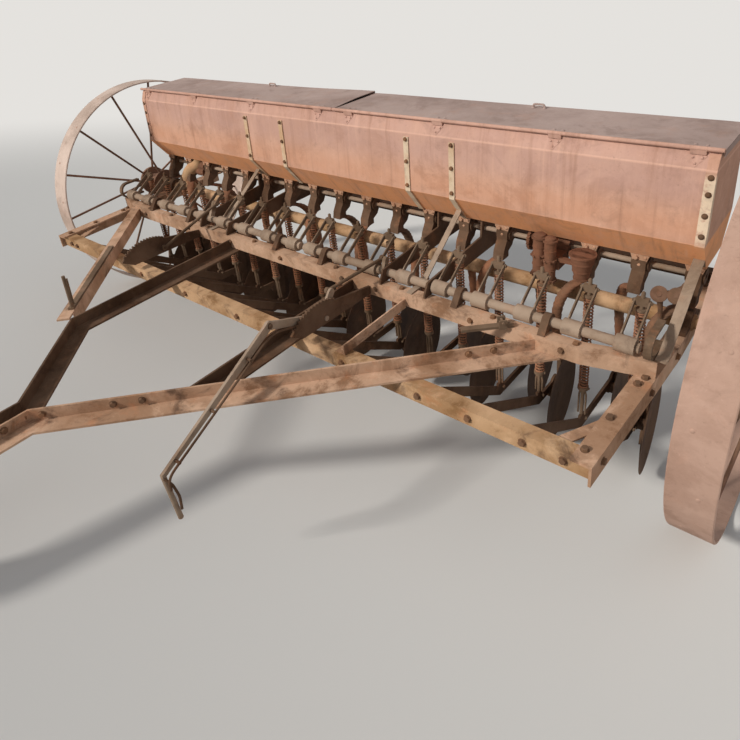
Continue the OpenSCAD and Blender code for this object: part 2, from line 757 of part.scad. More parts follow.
arm_gap = 42;
arm_plate = 5;
arm_half = 8;
boss_dia = rock_dia + 22;
boss_length = 62;
rock_end = opener_x(row_count / 2 - 1) - rod_inset + boss_length / 2 + 12;
// A crank and its pin on each rock shaft, where a link from the levers holds it
crank_thick = 16;
crank_half = 12;
link_pin_dia = 12;
link_dia = 14;
link_eye_dia = 26;
crank_left = [668, -300, 150];
crank_right = [456, -322, 122];
module lift_arms(x) {
    for (x0 = [x - arm_gap / 2 - arm_plate, x + arm_gap / 2]) across(x0, x0 + arm_plate) {
        band([[rock_y, rock_z], [tip_y, tip_z]], -arm_half, arm_half);
        translate([tip_y, tip_z]) circle(r = arm_half);
    }
    shaft(x - boss_length / 2, x + boss_length / 2, rock_y, rock_z, boss_dia);
}
module rock_shaft(crank) {
    shaft(12, rock_end, rock_y, rock_z, rock_dia);
    for (step = steps) lift_arms(rod_x(step));
    across(crank[0], crank[0] + crank_thick) {
        band([[rock_y, rock_z], [crank[1], crank[2]]], -crank_half, crank_half);
        translate([crank[1], crank[2]]) circle(r = crank_half);
    }
    shaft(crank[0] - link_dia - 8, crank[0] + 1, crank[1], crank[2], link_pin_dia);
}
module rock_shaft_right() {
    color(mauve_rust) parked() rock_shaft(crank_right);
}
module rock_shaft_left() {
    color(mauve_rust) parked() mirror([1, 0, 0]) rock_shaft(crank_left);
}
// A round link with an eye at each end, from the pin of a lever or sector to the pin of a crank
lever_tail = [398, -600, 100];
link_foot_left = [-700, -620, 30];
module link(from, to) {
    difference() {
        union() {
            rod(from, to, link_dia);
            for (end = [from, to])
                shaft(end[0] - link_dia / 2, end[0] + link_dia / 2, end[1], end[2], link_eye_dia);
        }
        for (end = [from, to])
            shaft(end[0] - link_dia, end[0] + link_dia, end[1], end[2], link_pin_dia + 2 * bore_gap);
    }
}
module lift_links() {
    out = link_dia / 2 + 3;
    color(mauve_rust) parked() {
        link(lever_tail, crank_right - [out, 0, 0]);
        link(link_foot_left, [out - crank_left[0], crank_left[1], crank_left[2]]);
    }
}
// Bearings stand on the rail between the bosses
bearing_rows = [for (count = [1, 5, 7]) between_x(count)];
module rock_bearings() {
    low = rail_top + seat_gap;
    color(dark_rust) parked() both_ends() for (x = bearing_rows) across(x - 13, x + 13) difference() {
        union() {
            translate([rock_y, rock_z]) circle(d = boss_dia);
            polygon([[-rail_reach + 4, low], [-rail_reach + rail_leg, low], [rock_y + 20, rock_z - 18],
                [rock_y - 22, rock_z + 16]]);
        }
        translate([rock_y, rock_z]) circle(d = rock_dia + 2 * bore_gap);
    }
}
// Drag bar: an eye on the pivot bar, a bar and a foot beside the disc, and a lug for the rod
pivot_y = -beam_reach + beam_leg + 24;
pivot_z = beam_top - beam_depth - 18;
pivot_dia = 26;
drag_thick = 10;
lug_height = 44;
function knee_z(back) = disc_z(back) + 30;
module drag_bar(back) {
    foot = [disc_y(back) + 30, disc_z(back) + 20];
    across(-drag_thick / 2, drag_thick / 2) difference() {
        union() {
            band([[pivot_y, pivot_z], [tip_y, knee_z(back)], foot], -drag_width / 2, drag_width / 2);
            translate([pivot_y, pivot_z]) circle(d = pivot_dia + 22);
            translate(foot) circle(r = 34);
            translate([tip_y - 18, knee_z(back)]) square([36, lug_height]);
            translate([disc_y(back), disc_z(back)]) circle(r = 26);
        }
        translate([pivot_y, pivot_z]) circle(d = pivot_dia + 2 * bore_gap);
    }
}
module drag_bars() {
    color(dark_rust) parked() each_row() translate([rod_x($step), 0, 0]) drag_bar($back);
}
// One turned outline holds the rod, the spring's coils and the collar
collar_z = -250;
rod_rise = 34;
module pressure_rod(back) {
    low = knee_z(back) + lug_height + seat_gap;
    spring_top = tip_z - 34;
    step = (spring_top - collar_z) / spring_coils;
    r = rod_dia / 2;
    coil = [for (k = [0 : spring_coils - 1]) each [[spring_dia / 2 - 4, spring_top - k * step],
        [spring_dia / 2, spring_top - (k + 0.5) * step]]];
    rotate_extrude() polygon(concat([[0, tip_z + rod_rise], [r, tip_z + rod_rise], [r, spring_top + 6],
        [spring_dia / 2, spring_top + 6]], coil, [[spring_dia / 2 + 2, collar_z],
        [spring_dia / 2 + 2, collar_z - 10], [r, collar_z - 10], [r, low], [0, low]]));
    block([seat_gap - arm_gap / 2, -arm_half, tip_z - 14], [arm_gap / 2 - seat_gap, arm_half, tip_z + 14]);
}
module pressure_rods() {
    color(mauve_rust) parked() each_row() translate([rod_x($step), tip_y, 0]) pressure_rod($back);
}

// Openers

hanger_rows = [for (count = [1, 3, 5, 7, 8]) between_x(count)];
module drag_pivot() {
    half = frame_half_front - side_leg - 8;
    face = -beam_reach + angle_thick + seat_gap;
    under = beam_top - angle_thick - seat_gap;
    color(dark_rust) parked() {
        shaft(-half, half, pivot_y, pivot_z, pivot_dia);
        both_ends() for (x = hanger_rows) across(x - 5, x + 5)
            polygon([[face, under], [-beam_reach + beam_leg, under], [pivot_y + 20, pivot_z + 4],
                [pivot_y, pivot_z - 20], [pivot_y - 20, pivot_z - 4], [face, beam_top - beam_depth + 10]]);
    }
}
// Dished blades on a spindle, turned a little towards their row
blade_dish = 16;
blade_angle = 6;
spindle_dia = 44;
module disc_blades() {
    r = disc_dia / 2;
    spindle = rod_inset - drag_thick / 2 - seat_gap;
    color(dark_rust) parked() each_row() translate([opener_x($step), disc_y($back), disc_z($back)]) {
        translate([6, 0, 0]) rotate([0, 0, blade_angle]) rotate([0, 90, 0])
            rotate_extrude() polygon([[0, 0], [r * 0.35, 1], [r * 0.7, blade_dish * 0.4], [r, blade_dish],
                [r, blade_dish + 1], [r * 0.7, blade_dish * 0.4 + disc_thick], [r * 0.35, disc_thick + 1],
                [0, disc_thick]]);
        shaft(-spindle, 8, 0, 0, spindle_dia);
    }
}
boot_width = 16;
boot_point = -130;
module disc_boots() {
    outline = [[36, -30], [30, boot_point], [60, boot_point + 12], [84, 40], [84, boot_top],
        [36, boot_top], [40, 40]];
    inner = -rod_inset + drag_thick / 2 + seat_gap;
    color(dark_rust) parked() each_row() translate([opener_x($step) + inner, disc_y($back), disc_z($back)])
        across(0, boot_width) polygon(outline);
}

// Levers

sector_r = 200;
sector_teeth = 15;
tooth_depth = 8;
sector_middle = [-700, -95];
sector_first = 60;
sector_span = 70;
sector_thick = 10;
sector_right_x = 425;
sector_left_x = -725;
// A plate from the rail's face forward, with a toothed arc over its front half
module sector() {
    face = -rail_reach - seat_gap;
    tooth = sector_span / sector_teeth;
    function on_arc(r, k) = on_circle(sector_middle, r, sector_first + k * tooth);
    teeth = [for (k = [0 : sector_teeth - 1]) each [on_arc(sector_r - tooth_depth, k),
        on_arc(sector_r, k + 0.25), on_arc(sector_r, k + 0.6),
        on_arc(sector_r - tooth_depth, k + 0.85)]];
    polygon(concat([[face, 30]], teeth, [[-838, 40], [-780, 4], [face, -6]]));
}
lever_x = 410;
lever_thick = 10;
lever_half = 15;
lever_pivot = [-660, 22];
lever_knee = [-912, 127];
lever_splay = 13.6;
lever_reach = 572;
lever_drop = 141;
grip_length = 178;
grip_dia = 16;
lever_pin_dia = 20;
module hand_lever_right() {
    tail = [lever_tail[1], lever_tail[2]];
    color(mauve_rust) parked() {
        across(lever_x, lever_x + lever_thick) {
            band([tail, lever_pivot, lever_knee], -lever_half, lever_half);
            translate(tail) circle(r = lever_half);
            translate(lever_pivot) circle(r = lever_half + 8);
            translate(lever_knee) circle(r = lever_half + 3);
        }
        shaft(lever_tail[0] - link_dia / 2 - 4, lever_x + 1, tail[0], tail[1], link_pin_dia);
        shaft(lever_x + 1, sector_right_x + sector_thick + 4, lever_pivot[0], lever_pivot[1],
            lever_pin_dia);
        translate([lever_x + lever_thick / 2, lever_knee[0], lever_knee[1]])
            rotate([0, 0, lever_splay]) {
                across(-lever_thick / 2, lever_thick / 2)
                    polygon([[0, lever_half + 3], [-lever_reach, 8 - lever_drop],
                        [-lever_reach, -8 - lever_drop], [0, -lever_half - 3]]);
                rod([0, -lever_reach + 6, -lever_drop],
                    [0, -lever_reach + 18, -lever_drop - grip_length], grip_dia);
            }
    }
}
// The left lever lies on the diagonal, with its grip and latch rod upright at its front end
lever_left_path = [[-935, -770], [-515, -1187]];
lever_left_half = 12;
latch_rod_dia = 9;
module hand_lever_left() {
    low = arm_top + seat_gap + angle_thick + seat_gap;
    front = lever_left_path[1];
    color(mauve_rust) parked() {
        translate([0, 0, low]) linear_extrude(lever_thick)
            band(lever_left_path, -lever_left_half, lever_left_half);
        rod([front[0] - 4, front[1] + 8, low + 2], [front[0] - 4, front[1] + 16, low + 150], grip_dia - 2);
        rod([front[0] - 20, front[1] + 22, low + 2], [front[0] - 18, front[1] + 30, low + 128],
            latch_rod_dia);
    }
}
module lever_sector_right() {
    color(dark_rust) parked() across(sector_right_x, sector_right_x + sector_thick) difference() {
        sector();
        translate(lever_pivot) circle(d = lever_pin_dia + 2 * bore_gap);
    }
}
module lever_sector_left() {
    pin_end = link_foot_left[0] + link_dia / 2 + 4;
    color(dark_rust) parked() {
        across(sector_left_x, sector_left_x + sector_thick) sector();
        shaft(sector_left_x + 1, pin_end, link_foot_left[1], link_foot_left[2], link_pin_dia);
    }
}

// Wheels

module at_wheel() {
    translate([wheel_x, origin_y, wheel_r]) rotate([0, 90, 0]) children();
}
rim_round = 3;
module rim() {
    half = rim_width / 2;
    color(mauve_rust) at_wheel() rotate_extrude($fn = 180)
        polygon([[wheel_r - rim_thick, -half], [wheel_r - 2, -half], [wheel_r, rim_round - half],
            [wheel_r, half - rim_round], [wheel_r - 2, half], [wheel_r - rim_thick, half]]);
}
flange_inset = 26;
spoke_spread = 18;
module hub() {
    flange_mid = hub_length / 2 - flange_inset;
    color(dark_rust) at_wheel() difference() {
        union() {
            cylinder(h = hub_length, d = hub_dia, center = true);
            for (end = [-1, 1]) translate([0, 0, end * flange_mid])
                cylinder(h = hub_flange_thick, d = hub_flange_dia, center = true);
            intersection() {
                for (i = [1 : spoke_count]) rotate([0, 0, i * 360 / spoke_count])
                    rod([hub_flange_dia / 2 - flange_inset, 0, (i % 2 * 2 - 1) * flange_mid],
                        [wheel_r, 0, (i % 2 * 2 - 1) * spoke_spread], spoke_dia);
                cylinder(h = hub_length, r = wheel_r - rim_thick - seat_gap, center = true, $fn = 180);
            }
        }
        cylinder(h = hub_length + 2, d = stub_dia + 2 * bore_gap, center = true);
    }
}
module rim_right() {
    rim();
}
module rim_left() {
    mirror([1, 0, 0]) rim();
}
module hub_right() {
    hub();
}
module hub_left() {
    mirror([1, 0, 0]) hub();
}

front_beam();
side_members();
cross_rail();
rail_fittings();
rear_beam();
beam_braces();
axle();
axle_caps();
drawbar_arm_right();
drawbar_arm_left();
drawbar_diagonal_left();
drawbar_bar_right();
hitch_clevis();
stand_bracket();
stand_leg();
grain_box();
box_end_left();
box_end_right();
box_straps();
box_struts();
box_sills();
lid_left();
lid_right();
lid_hinge_rod();
feed_cups();
feed_shaft();
feed_drive_right();
feed_drive_left();
seed_tubes();
rock_shaft_left();
rock_shaft_right();
rock_bearings();
lift_links();
pressure_rods();
drag_bars();
drag_pivot();
disc_blades();
disc_boots();
hand_lever_left();
hand_lever_right();
lever_sector_left();
lever_sector_right();
rim_left();
rim_right();
hub_left();
hub_right();
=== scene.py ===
"""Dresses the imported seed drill: rust, springs, ribbed seed tubes, bent lids, trim, bolts and the studio."""
import math
from collections import namedtuple

import bpy
from mathutils import Matrix, Vector, noise


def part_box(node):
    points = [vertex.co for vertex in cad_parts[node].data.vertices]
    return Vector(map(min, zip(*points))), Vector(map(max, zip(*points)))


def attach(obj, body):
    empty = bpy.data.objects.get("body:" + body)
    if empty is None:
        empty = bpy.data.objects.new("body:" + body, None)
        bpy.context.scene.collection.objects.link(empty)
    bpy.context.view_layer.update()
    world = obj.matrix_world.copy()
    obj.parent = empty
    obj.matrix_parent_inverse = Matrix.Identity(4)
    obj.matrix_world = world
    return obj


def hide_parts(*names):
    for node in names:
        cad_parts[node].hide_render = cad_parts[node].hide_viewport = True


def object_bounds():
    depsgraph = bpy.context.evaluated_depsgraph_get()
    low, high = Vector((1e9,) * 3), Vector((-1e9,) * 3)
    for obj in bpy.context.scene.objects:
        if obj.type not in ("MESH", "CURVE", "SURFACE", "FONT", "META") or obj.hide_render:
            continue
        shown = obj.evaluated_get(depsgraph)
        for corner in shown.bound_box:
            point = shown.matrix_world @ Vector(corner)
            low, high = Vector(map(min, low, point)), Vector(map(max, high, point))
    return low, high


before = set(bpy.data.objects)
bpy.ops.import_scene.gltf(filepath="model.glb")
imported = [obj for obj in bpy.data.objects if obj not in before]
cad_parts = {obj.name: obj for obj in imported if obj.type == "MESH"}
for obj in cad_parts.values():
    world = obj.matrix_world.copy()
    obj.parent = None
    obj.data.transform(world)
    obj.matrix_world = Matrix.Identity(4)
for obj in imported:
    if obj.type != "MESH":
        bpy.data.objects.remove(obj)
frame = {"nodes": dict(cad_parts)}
CAD_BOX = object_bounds()

bl_info = {
    "name": "Seed drill dressing",
    "version": (1, 0, 0),
    "blender": (4, 5, 0),
    "location": "3D View > Sidebar > Seed drill",
    "description": "Adds rust, springs, seed tubes, bolts and bent sheet to the drill's solids",
    "category": "Object",
}

# The machine's own frame, in metres: X to the right end, Y back, Z up, zero at the middle of the axle
PARK_PITCH = math.radians(10)
RIM_LOW, RIM_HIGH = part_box("rim_right")
WHEEL_R = (RIM_HIGH.z - RIM_LOW.z) / 2
AXLE = Vector((0, (RIM_LOW.y + RIM_HIGH.y) / 2, (RIM_LOW.z + RIM_HIGH.z) / 2))
WHEEL_X = (RIM_LOW.x + RIM_HIGH.x) / 2
MACHINE = Matrix.Translation(AXLE) @ Matrix.Rotation(PARK_PITCH, 4, "X")

# Places that repeat the solids' own sizes
ROW_PITCH, OPENER_PITCH, ROD_INSET, ROWS_A_SIDE = 0.1778, 0.170, 0.024, 9
BEAM_REACH, BEAM_TOP = 0.770, -0.018
SIDE_TOP, HALF_FRONT, HALF_AXLE, SPLAY_LENGTH = -0.010, 1.500, 1.533, 0.65
RAIL_REACH, RAIL_TOP = 0.400, 0.048
DRAW_OFFSET, DRAW_APEX, TONGUE_HALF = -0.067, 1.617, 0.038
ROCK = Vector((0, -0.340, 0.077))
TIP = Vector((0, -0.210, 0.162))
SPRING_TOP, COLLAR_Z, LUG_RISE, LUG_HEIGHT = TIP.z - 0.034, -0.250, 0.030, 0.044
DISC_FRONT, DISC_BACK, DISC_RISE = -0.100, 0.080, 0.211
BOX_HALF, BOX_TOP, BOX_CREASE, BOX_LOW, BOX_FLOOR = 1.545, 0.621, 0.563, 0.320, 0.206
EDGE = Vector((0, -0.035, BOX_TOP))
CREASE = Vector((0, -0.059, BOX_CREASE))
LOW_CREASE = Vector((0, -0.070, BOX_LOW))
STRAP_ROWS = (-0.600, -0.340, 0.410, 0.628)
FEED = Vector((0, 0.052, 0.158))
CUP_FOOT, CUP_HALF, CUP_FRONT = 0.066, 0.033, 0.018
BOOT_TOP, BOOT_BACK = 0.128, 0.060
HINGE = Vector((0, -0.044, 0.624))
LID_LOW, LID_SHEET, LID_BACK, LID_END, LID_SKIRT = 0.6213, 0.003, 0.2591, 1.550, 0.022
LID_TOP = LID_LOW + LID_SHEET
HANDLE_X, HANDLE_LENGTH, HANDLE_HEIGHT = {-1: 0.690, 1: 0.845}, 0.046, 0.0158
KNUCKLES, KNUCKLE_LENGTH = tuple(share * BOX_HALF for share in (0.06, 0.36, 0.67, 0.96)), 0.046
ARM_GAP, ARM_HALF = 0.042, 0.008
LEVER_KNEE = Vector((0.415, -0.912, 0.127))
LEVER_ELBOW = LEVER_KNEE + Vector((0.1345, -0.556, -0.141))
GRIP_FOOT = LEVER_ELBOW + Vector((-0.003, 0.017, -0.178))

# How far bolts and tabs stand off the face that carries them
SEAT = 0.0002
SIDES = {"left": -1, "right": 1}
RIGHTWARD, FORWARD, UPWARD = (1, 0, 0), (0, -1, 0), (0, 0, 1)

# A seed row: its side, whether its disc stands further back, the X of cup, opener and rod, and the disc
Row = namedtuple("Row", "side back cup opener rod disc_y disc_z")


def over_ground(y, height):
    """Height in the machine's frame of a point at y that stands at this height over the ground."""
    return (height - WHEEL_R - y * math.sin(PARK_PITCH)) / math.cos(PARK_PITCH)


def rows():
    """Every seed row, counted outwards from the middle on each side."""
    for side in SIDES.values():
        for step in range(ROWS_A_SIDE):
            back = (step + (0 if side > 0 else 1)) % 2 == 1
            disc_y = DISC_BACK if back else DISC_FRONT
            opener = (step + 0.5) * OPENER_PITCH
            yield Row(side, back, side * (step + 0.5) * ROW_PITCH, side * opener, side * (opener - ROD_INSET),
                      disc_y, over_ground(disc_y, DISC_RISE))


def clamped(value):
    return min(1, max(0, value))


def linear(tone):
    """A colour written as three display values from 0 to 255, in the renderer's linear light."""
    shares = [value / 255 for value in tone]
    return tuple(v / 12.92 if v <= 0.04045 else ((v + 0.055) / 1.055) ** 2.4 for v in shares)


def lighter(tone, change):
    """A tone made lighter, or darker where change is negative."""
    return [min(255, max(0, v + change)) for v in tone]


# Shader graphs written as Python expressions
class Wire:
    """A shader output; Python's operators on it add Math nodes."""

    def __init__(self, graph, socket):
        self.graph, self.socket = graph, socket

    def maths(self, operation, *values):
        return self.graph.node("ShaderNodeMath", {"operation": operation}, dict(enumerate(values)))

    def __add__(self, other):
        return self.maths("ADD", self, other)

    def __sub__(self, other):
        return self.maths("SUBTRACT", self, other)

    def __mul__(self, other):
        return self.maths("MULTIPLY", self, other)

    def __rsub__(self, other):
        return self.maths("SUBTRACT", other, self)

    __radd__, __rmul__ = __add__, __mul__

    def either(self, other):
        """The greater of the two: one where either mask is one."""
        return self.maths("MAXIMUM", self, other)

    def ramp(self, low, high):
        """Zero at low, one at high, smooth between; low may be the greater of the two."""
        settings = {"interpolation_type": "SMOOTHSTEP"}
        return self.graph.node("ShaderNodeMapRange", settings, {0: self, 1: low, 2: high})


class Graph:
    """The node graph of one material or world."""

    def __init__(self, owner):
        owner.use_nodes = True
        self.tree = owner.node_tree
        self.tree.nodes.clear()

    def node(self, kind, settings=None, inputs=None, output=0):
        """Adds a node, with its settings set before its inputs, and returns one of its outputs."""
        node = self.tree.nodes.new(kind)
        for key, value in (settings or {}).items():
            setattr(node, key, value)
        for key, value in (inputs or {}).items():
            if isinstance(value, Wire):
                self.tree.links.new(value.socket, node.inputs[key])
            else:
                node.inputs[key].default_value = value
        return Wire(self, node.outputs[output]) if len(node.outputs) else None

    def outputs(self, kind, names, inputs=None):
        """Adds a node and returns several of its outputs."""
        node = self.node(kind, None, inputs).socket.node
        return [Wire(self, node.outputs[name]) for name in names]

    def place(self, shift=(0, 0, 0)):
        """Object coordinates, shifted so that clouds of one scale differ."""
        where = self.node("ShaderNodeTexCoord", output="Object")
        return self.node("ShaderNodeMapping", {"vector_type": "POINT"}, {"Vector": where, "Location": shift})

    def machine(self, stretch=(1, 1, 1)):
        """Coordinates in the machine's own frame, stretched."""
        where = self.node("ShaderNodeTexCoord", output="Object")
        return self.node("ShaderNodeMapping", {"vector_type": "TEXTURE"},
                         {"Vector": where, "Location": tuple(AXLE), "Rotation": (PARK_PITCH, 0, 0),
                          "Scale": tuple(1 / v for v in stretch)})

    def axes(self):
        """The place in the machine's own frame, as its three components."""
        return self.outputs("ShaderNodeSeparateXYZ", "XYZ", {"Vector": self.machine()})

    def cloud(self, scale, detail, rough, shift=(0, 0, 0), warp=0.0, where=None):
        return self.node("ShaderNodeTexNoise", {"noise_dimensions": "3D"},
                         {"Vector": where or self.place(shift), "Scale": scale, "Detail": detail,
                          "Roughness": rough, "Distortion": warp})

    def mix(self, share, under, over):
        """Lays a colour over another by a share; each is a wire or a linear colour."""
        a, b = (tone if isinstance(tone, Wire) else (*tone, 1) for tone in (under, over))
        return self.node("ShaderNodeMix", {"data_type": "RGBA"}, {0: share, 6: a, 7: b}, output=2)

    def coats(self, colour, *layers):
        """Lays several tones over a colour in turn, each by its share."""
        for share, tone in layers:
            colour = self.mix(share, colour, linear(tone))
        return colour

    def surface(self, colour, roughness, height, depth, metallic):
        """Ends the graph: a Principled surface with a bump of this depth in metres."""
        bump = self.node("ShaderNodeBump", None, {"Strength": 1.0, "Distance": depth, "Height": height})
        shader = self.node("ShaderNodeBsdfPrincipled", None,
                           {"Base Color": colour, "Roughness": roughness, "Metallic": metallic,
                            "Specular IOR Level": 0.35, "Normal": bump})
        self.node("ShaderNodeOutputMaterial", None, {"Surface": shader})


def rust(name, main, second, deep, flare, stains, flares, streak=0.0, polish=0.0, depth=0.0005, mottle=0.45,
         zones=()):
    """Mottled rust: two broad tones, blotches, flares, zones, run marks, dark stains and pitting."""
    g = Graph(bpy.data.materials.new(name))
    broad = g.cloud(2.3, 7, 0.62).ramp(0.40, 0.62)
    blotch = g.cloud(5.2, 8, 0.7, shift=(1, 8, 3), warp=0.4)
    stain = g.cloud(7.5, 9, 0.68, shift=(4, 1, 7), warp=0.6).ramp(0.52, 0.72)
    orange = g.cloud(12, 8, 0.7, shift=(9, 3, 2)).ramp(0.52, 0.72)
    grain = g.cloud(85, 6, 0.75)
    pits = g.cloud(330, 3, 0.6)
    colour = g.coats(g.mix(broad, linear(main), linear(second)),
                     (blotch.ramp(0.50, 0.64) * mottle, lighter(second, -34)),
                     (blotch.ramp(0.48, 0.34) * mottle, lighter(main, 12)),
                     (orange * flares, flare))
    for zone in zones:
        colour = zone(g, colour)
    if streak:
        runs = g.cloud(1.0, 6, 0.62, where=g.machine((38, 8, 1.6)))
        colour = g.coats(colour,
                         (runs.ramp(0.50, 0.76) * streak, lighter(second, -44)),
                         (runs.ramp(0.46, 0.24) * (streak * 0.8), lighter(main, 18)))
    colour = g.coats(colour,
                     (stain * stains, deep),
                     (grain.ramp(0.57, 0.76) * 0.36, deep),
                     (grain.ramp(0.42, 0.28) * 0.28, lighter(main, 24)))
    roughness = 0.86 - polish * 0.42 + grain * 0.16 - broad * (polish * 0.12)
    g.surface(colour, roughness, grain * 0.6 + pits * 0.4, depth, polish * 0.3)


def band_zone(low, high, tone, share, soft=0.006):
    """A zone of another tone between two heights of the machine's frame."""
    def lay(g, colour):
        height = g.axes()[2]
        patchy = g.cloud(9, 6, 0.65, shift=(2, 6, 1)).ramp(0.30, 0.62) * 0.4 + 0.6
        inside = height.ramp(high + soft, high - soft) * height.ramp(low - soft, low + soft)
        return g.coats(colour, (inside * patchy * share, tone))
    return lay


def arm_zone(tone, share):
    """A darker tone on what stands out from the rock shafts."""
    def lay(g, colour):
        y, height = g.axes()[1:]
        squared = (y - ROCK.y) * (y - ROCK.y) + (height - ROCK.z) * (height - ROCK.z)
        return g.coats(colour, (squared.ramp(0.0010, 0.0022) * share, tone))
    return lay


def fold_zone(tone, top, share):
    """Bare pale patches on the folded front edge of the box's right end."""
    def lay(g, colour):
        x, y, height = g.axes()
        patchy = g.cloud(21, 6, 0.7, shift=(3, 3, 8)).ramp(0.34, 0.50)
        front = x.ramp(0.0, 0.2) * y.ramp(-0.040, -0.052)
        inside = front * height.ramp(top + 0.02, top - 0.02) * height.ramp(0.30, 0.36)
        return g.coats(colour, (inside * patchy * share, tone))
    return lay


class Metalwork:
    """Collects the faces of one piece, in the machine's frame."""

    def __init__(self):
        self.points, self.faces = [], []

    def skin(self, rings, at=None):
        """Joins rings of equally many points, with a face on each end."""
        n, start = len(rings[0]), len(self.points)
        for ring in rings:
            self.points += [at @ Vector(p) if at else Vector(p) for p in ring]
        for low in range(start, start + (len(rings) - 1) * n, n):
            high = low + n
            self.faces += [[low + i, low + (i + 1) % n, high + (i + 1) % n, high + i] for i in range(n)]
        self.faces.append([start + i for i in range(n - 1, -1, -1)])
        self.faces.append([len(self.points) - n + i for i in range(n)])

    def tube(self, path, radius, sides):
        """A round bar along a path; radius is one value or one for each point."""
        path = [Vector(p) for p in path]
        radii = radius if isinstance(radius, (list, tuple)) else [radius] * len(path)
        last = len(path) - 1
        ways = [(path[min(i + 1, last)] - path[max(i - 1, 0)]).normalized() for i in range(len(path))]
        turns = [math.tau * i / sides for i in range(sides)]
        across = ways[0].orthogonal().normalized()
        rings = []
        for p, way, r in zip(path, ways, radii):
            across = (across - way * across.dot(way)).normalized()
            other = way.cross(across)
            rings.append([p + r * (math.cos(a) * across + math.sin(a) * other) for a in turns])
        self.skin(rings)

    def prism(self, outline, x0, x1, at=None):
        """An outline in Y and Z, counter-clockwise seen from the right end, drawn from x0 to x1."""
        self.skin([[(x, y, z) for y, z in outline] for x in (x0, x1)], at)

    def block(self, low, high):
        """A square-edged block between two corners."""
        (a, b, c), (d, e, f) = low, high
        self.prism([(b, c), (e, c), (e, f), (b, f)], a, d)

    def turned(self, profile, at, sides):
        """Radius and height pairs turned about the local Z axis, closed flat at both ends."""
        turns = [math.tau * i / sides for i in range(sides)]
        self.skin([[(r * math.cos(a), r * math.sin(a), h) for a in turns] for r, h in profile], at)

    def bolt(self, at, size, washer=True, domed=False):
        """A bolt head on the local Z axis, six-sided or domed, with its washer."""
        if washer:
            self.turned([(size * 1.15, -0.0005), (size * 1.15, 0.0012), (size * 0.9, 0.0016)], at, 14)
        if domed:
            self.turned([(size, 0), (size * 0.95, size * 0.25), (size * 0.7, size * 0.5),
                         (size * 0.3, size * 0.62)], at, 12)
        else:
            turn = at @ Matrix.Rotation(0.4, 4, "Z")
            self.turned([(size, 0.001), (size, size * 0.75), (size * 0.86, size * 0.9)], turn, 6)

    def build(self, name, finish, slot, body="frame", smooth=35.0):
        """Makes the object, tipped as the machine parks, shades it and lets it ride on its body."""
        mesh = bpy.data.meshes.new(name)
        mesh.from_pydata([MACHINE @ p for p in self.points], [], self.faces)
        mesh.validate()
        mesh.shade_smooth()
        mesh.set_sharp_from_angle(angle=math.radians(smooth))
        piece = bpy.data.objects.new(name, mesh)
        bpy.context.scene.collection.objects.link(piece)
        mesh.materials.append(bpy.data.materials[finish])
        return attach(piece, body)


def facing(point, way):
    """A matrix that puts local Z along way at this point."""
    return Matrix.Translation(Vector(point)) @ Vector(way).to_track_quat("Z", "Y").to_matrix().to_4x4()


def rounded(path, radius, steps=5):
    """The path with its corners rounded."""
    path = [Vector(p) for p in path]
    out = [path[0]]
    for before, corner, after in zip(path, path[1:], path[2:]):
        a = corner + (before - corner).normalized() * min(radius, (before - corner).length * 0.45)
        b = corner + (after - corner).normalized() * min(radius, (after - corner).length * 0.45)
        out += [a.lerp(corner, t).lerp(corner.lerp(b, t), t) for t in (i / steps for i in range(steps + 1))]
    return out + [path[-1]]


def colour_property(name, text, tone):
    """A colour that is written as three display values from 0 to 255."""
    return bpy.props.FloatVectorProperty(name=name, description=text, default=tuple(v / 255 for v in tone),
                                         size=3, min=0, max=1, subtype="COLOR_GAMMA")


def length_property(name, text, default, low, high):
    """A length in metres and its limits."""
    return bpy.props.FloatProperty(name=name, description=text, default=default, min=low, max=high,
                                   unit="LENGTH")


class DrillRust(bpy.types.PropertyGroup):
    """The rust tones of the drill's finishes."""

    box: colour_property("Box front", "Tone of the grain box's upright front", (209, 164, 141))
    lilac: colour_property("Box top", "Cooler tone of the upper part of the box's front", (191, 155, 146))
    box_low: colour_property("Box underside", "Tone of the box's slanting lower panel", (240, 166, 112))
    bare: colour_property("Bare edges", "Pale tone where the box's folded edges are worn bare",
                          (234, 212, 184))
    lid: colour_property("Lid", "Greyed tone of the lids", (176, 153, 144))
    beam: colour_property("Beams", "Tone of the front beam and axle", (194, 157, 120))
    frame: colour_property("Frame", "Tone of the rail, side members and drawbar", (196, 159, 131))
    bar: colour_property("Bars and shafts", "Tone of rods, levers and shafts", (173, 151, 131))
    spring: colour_property("Springs", "Tone of the pressure springs", (160, 113, 86))
    casting: colour_property("Castings", "Dark tone of the cast feed cups and bearings", (103, 78, 59))
    drive: colour_property("Feed drive", "Reddish tone of the feed drive's housings", (126, 84, 62))
    # Painted sunlight: a lighter, greyer copy of the wheels' tone, laid on the left wheel's rim
    rim: colour_property("Sunlit wheel", "Greyer tone of the left wheel's rim", (206, 184, 170))
    tab: colour_property("Cup tabs", "Tone of the tabs that hold the feed cups", (188, 147, 119))
    wheel: colour_property("Wheels", "Brown tone of the right wheel's rim and of the hubs", (190, 156, 138))
    deep: colour_property("Stains", "Darkest tone in the stains and pits", (84, 61, 47))
    flare: colour_property("Fresh rust", "Orange of the fresh rust", (196, 130, 88))


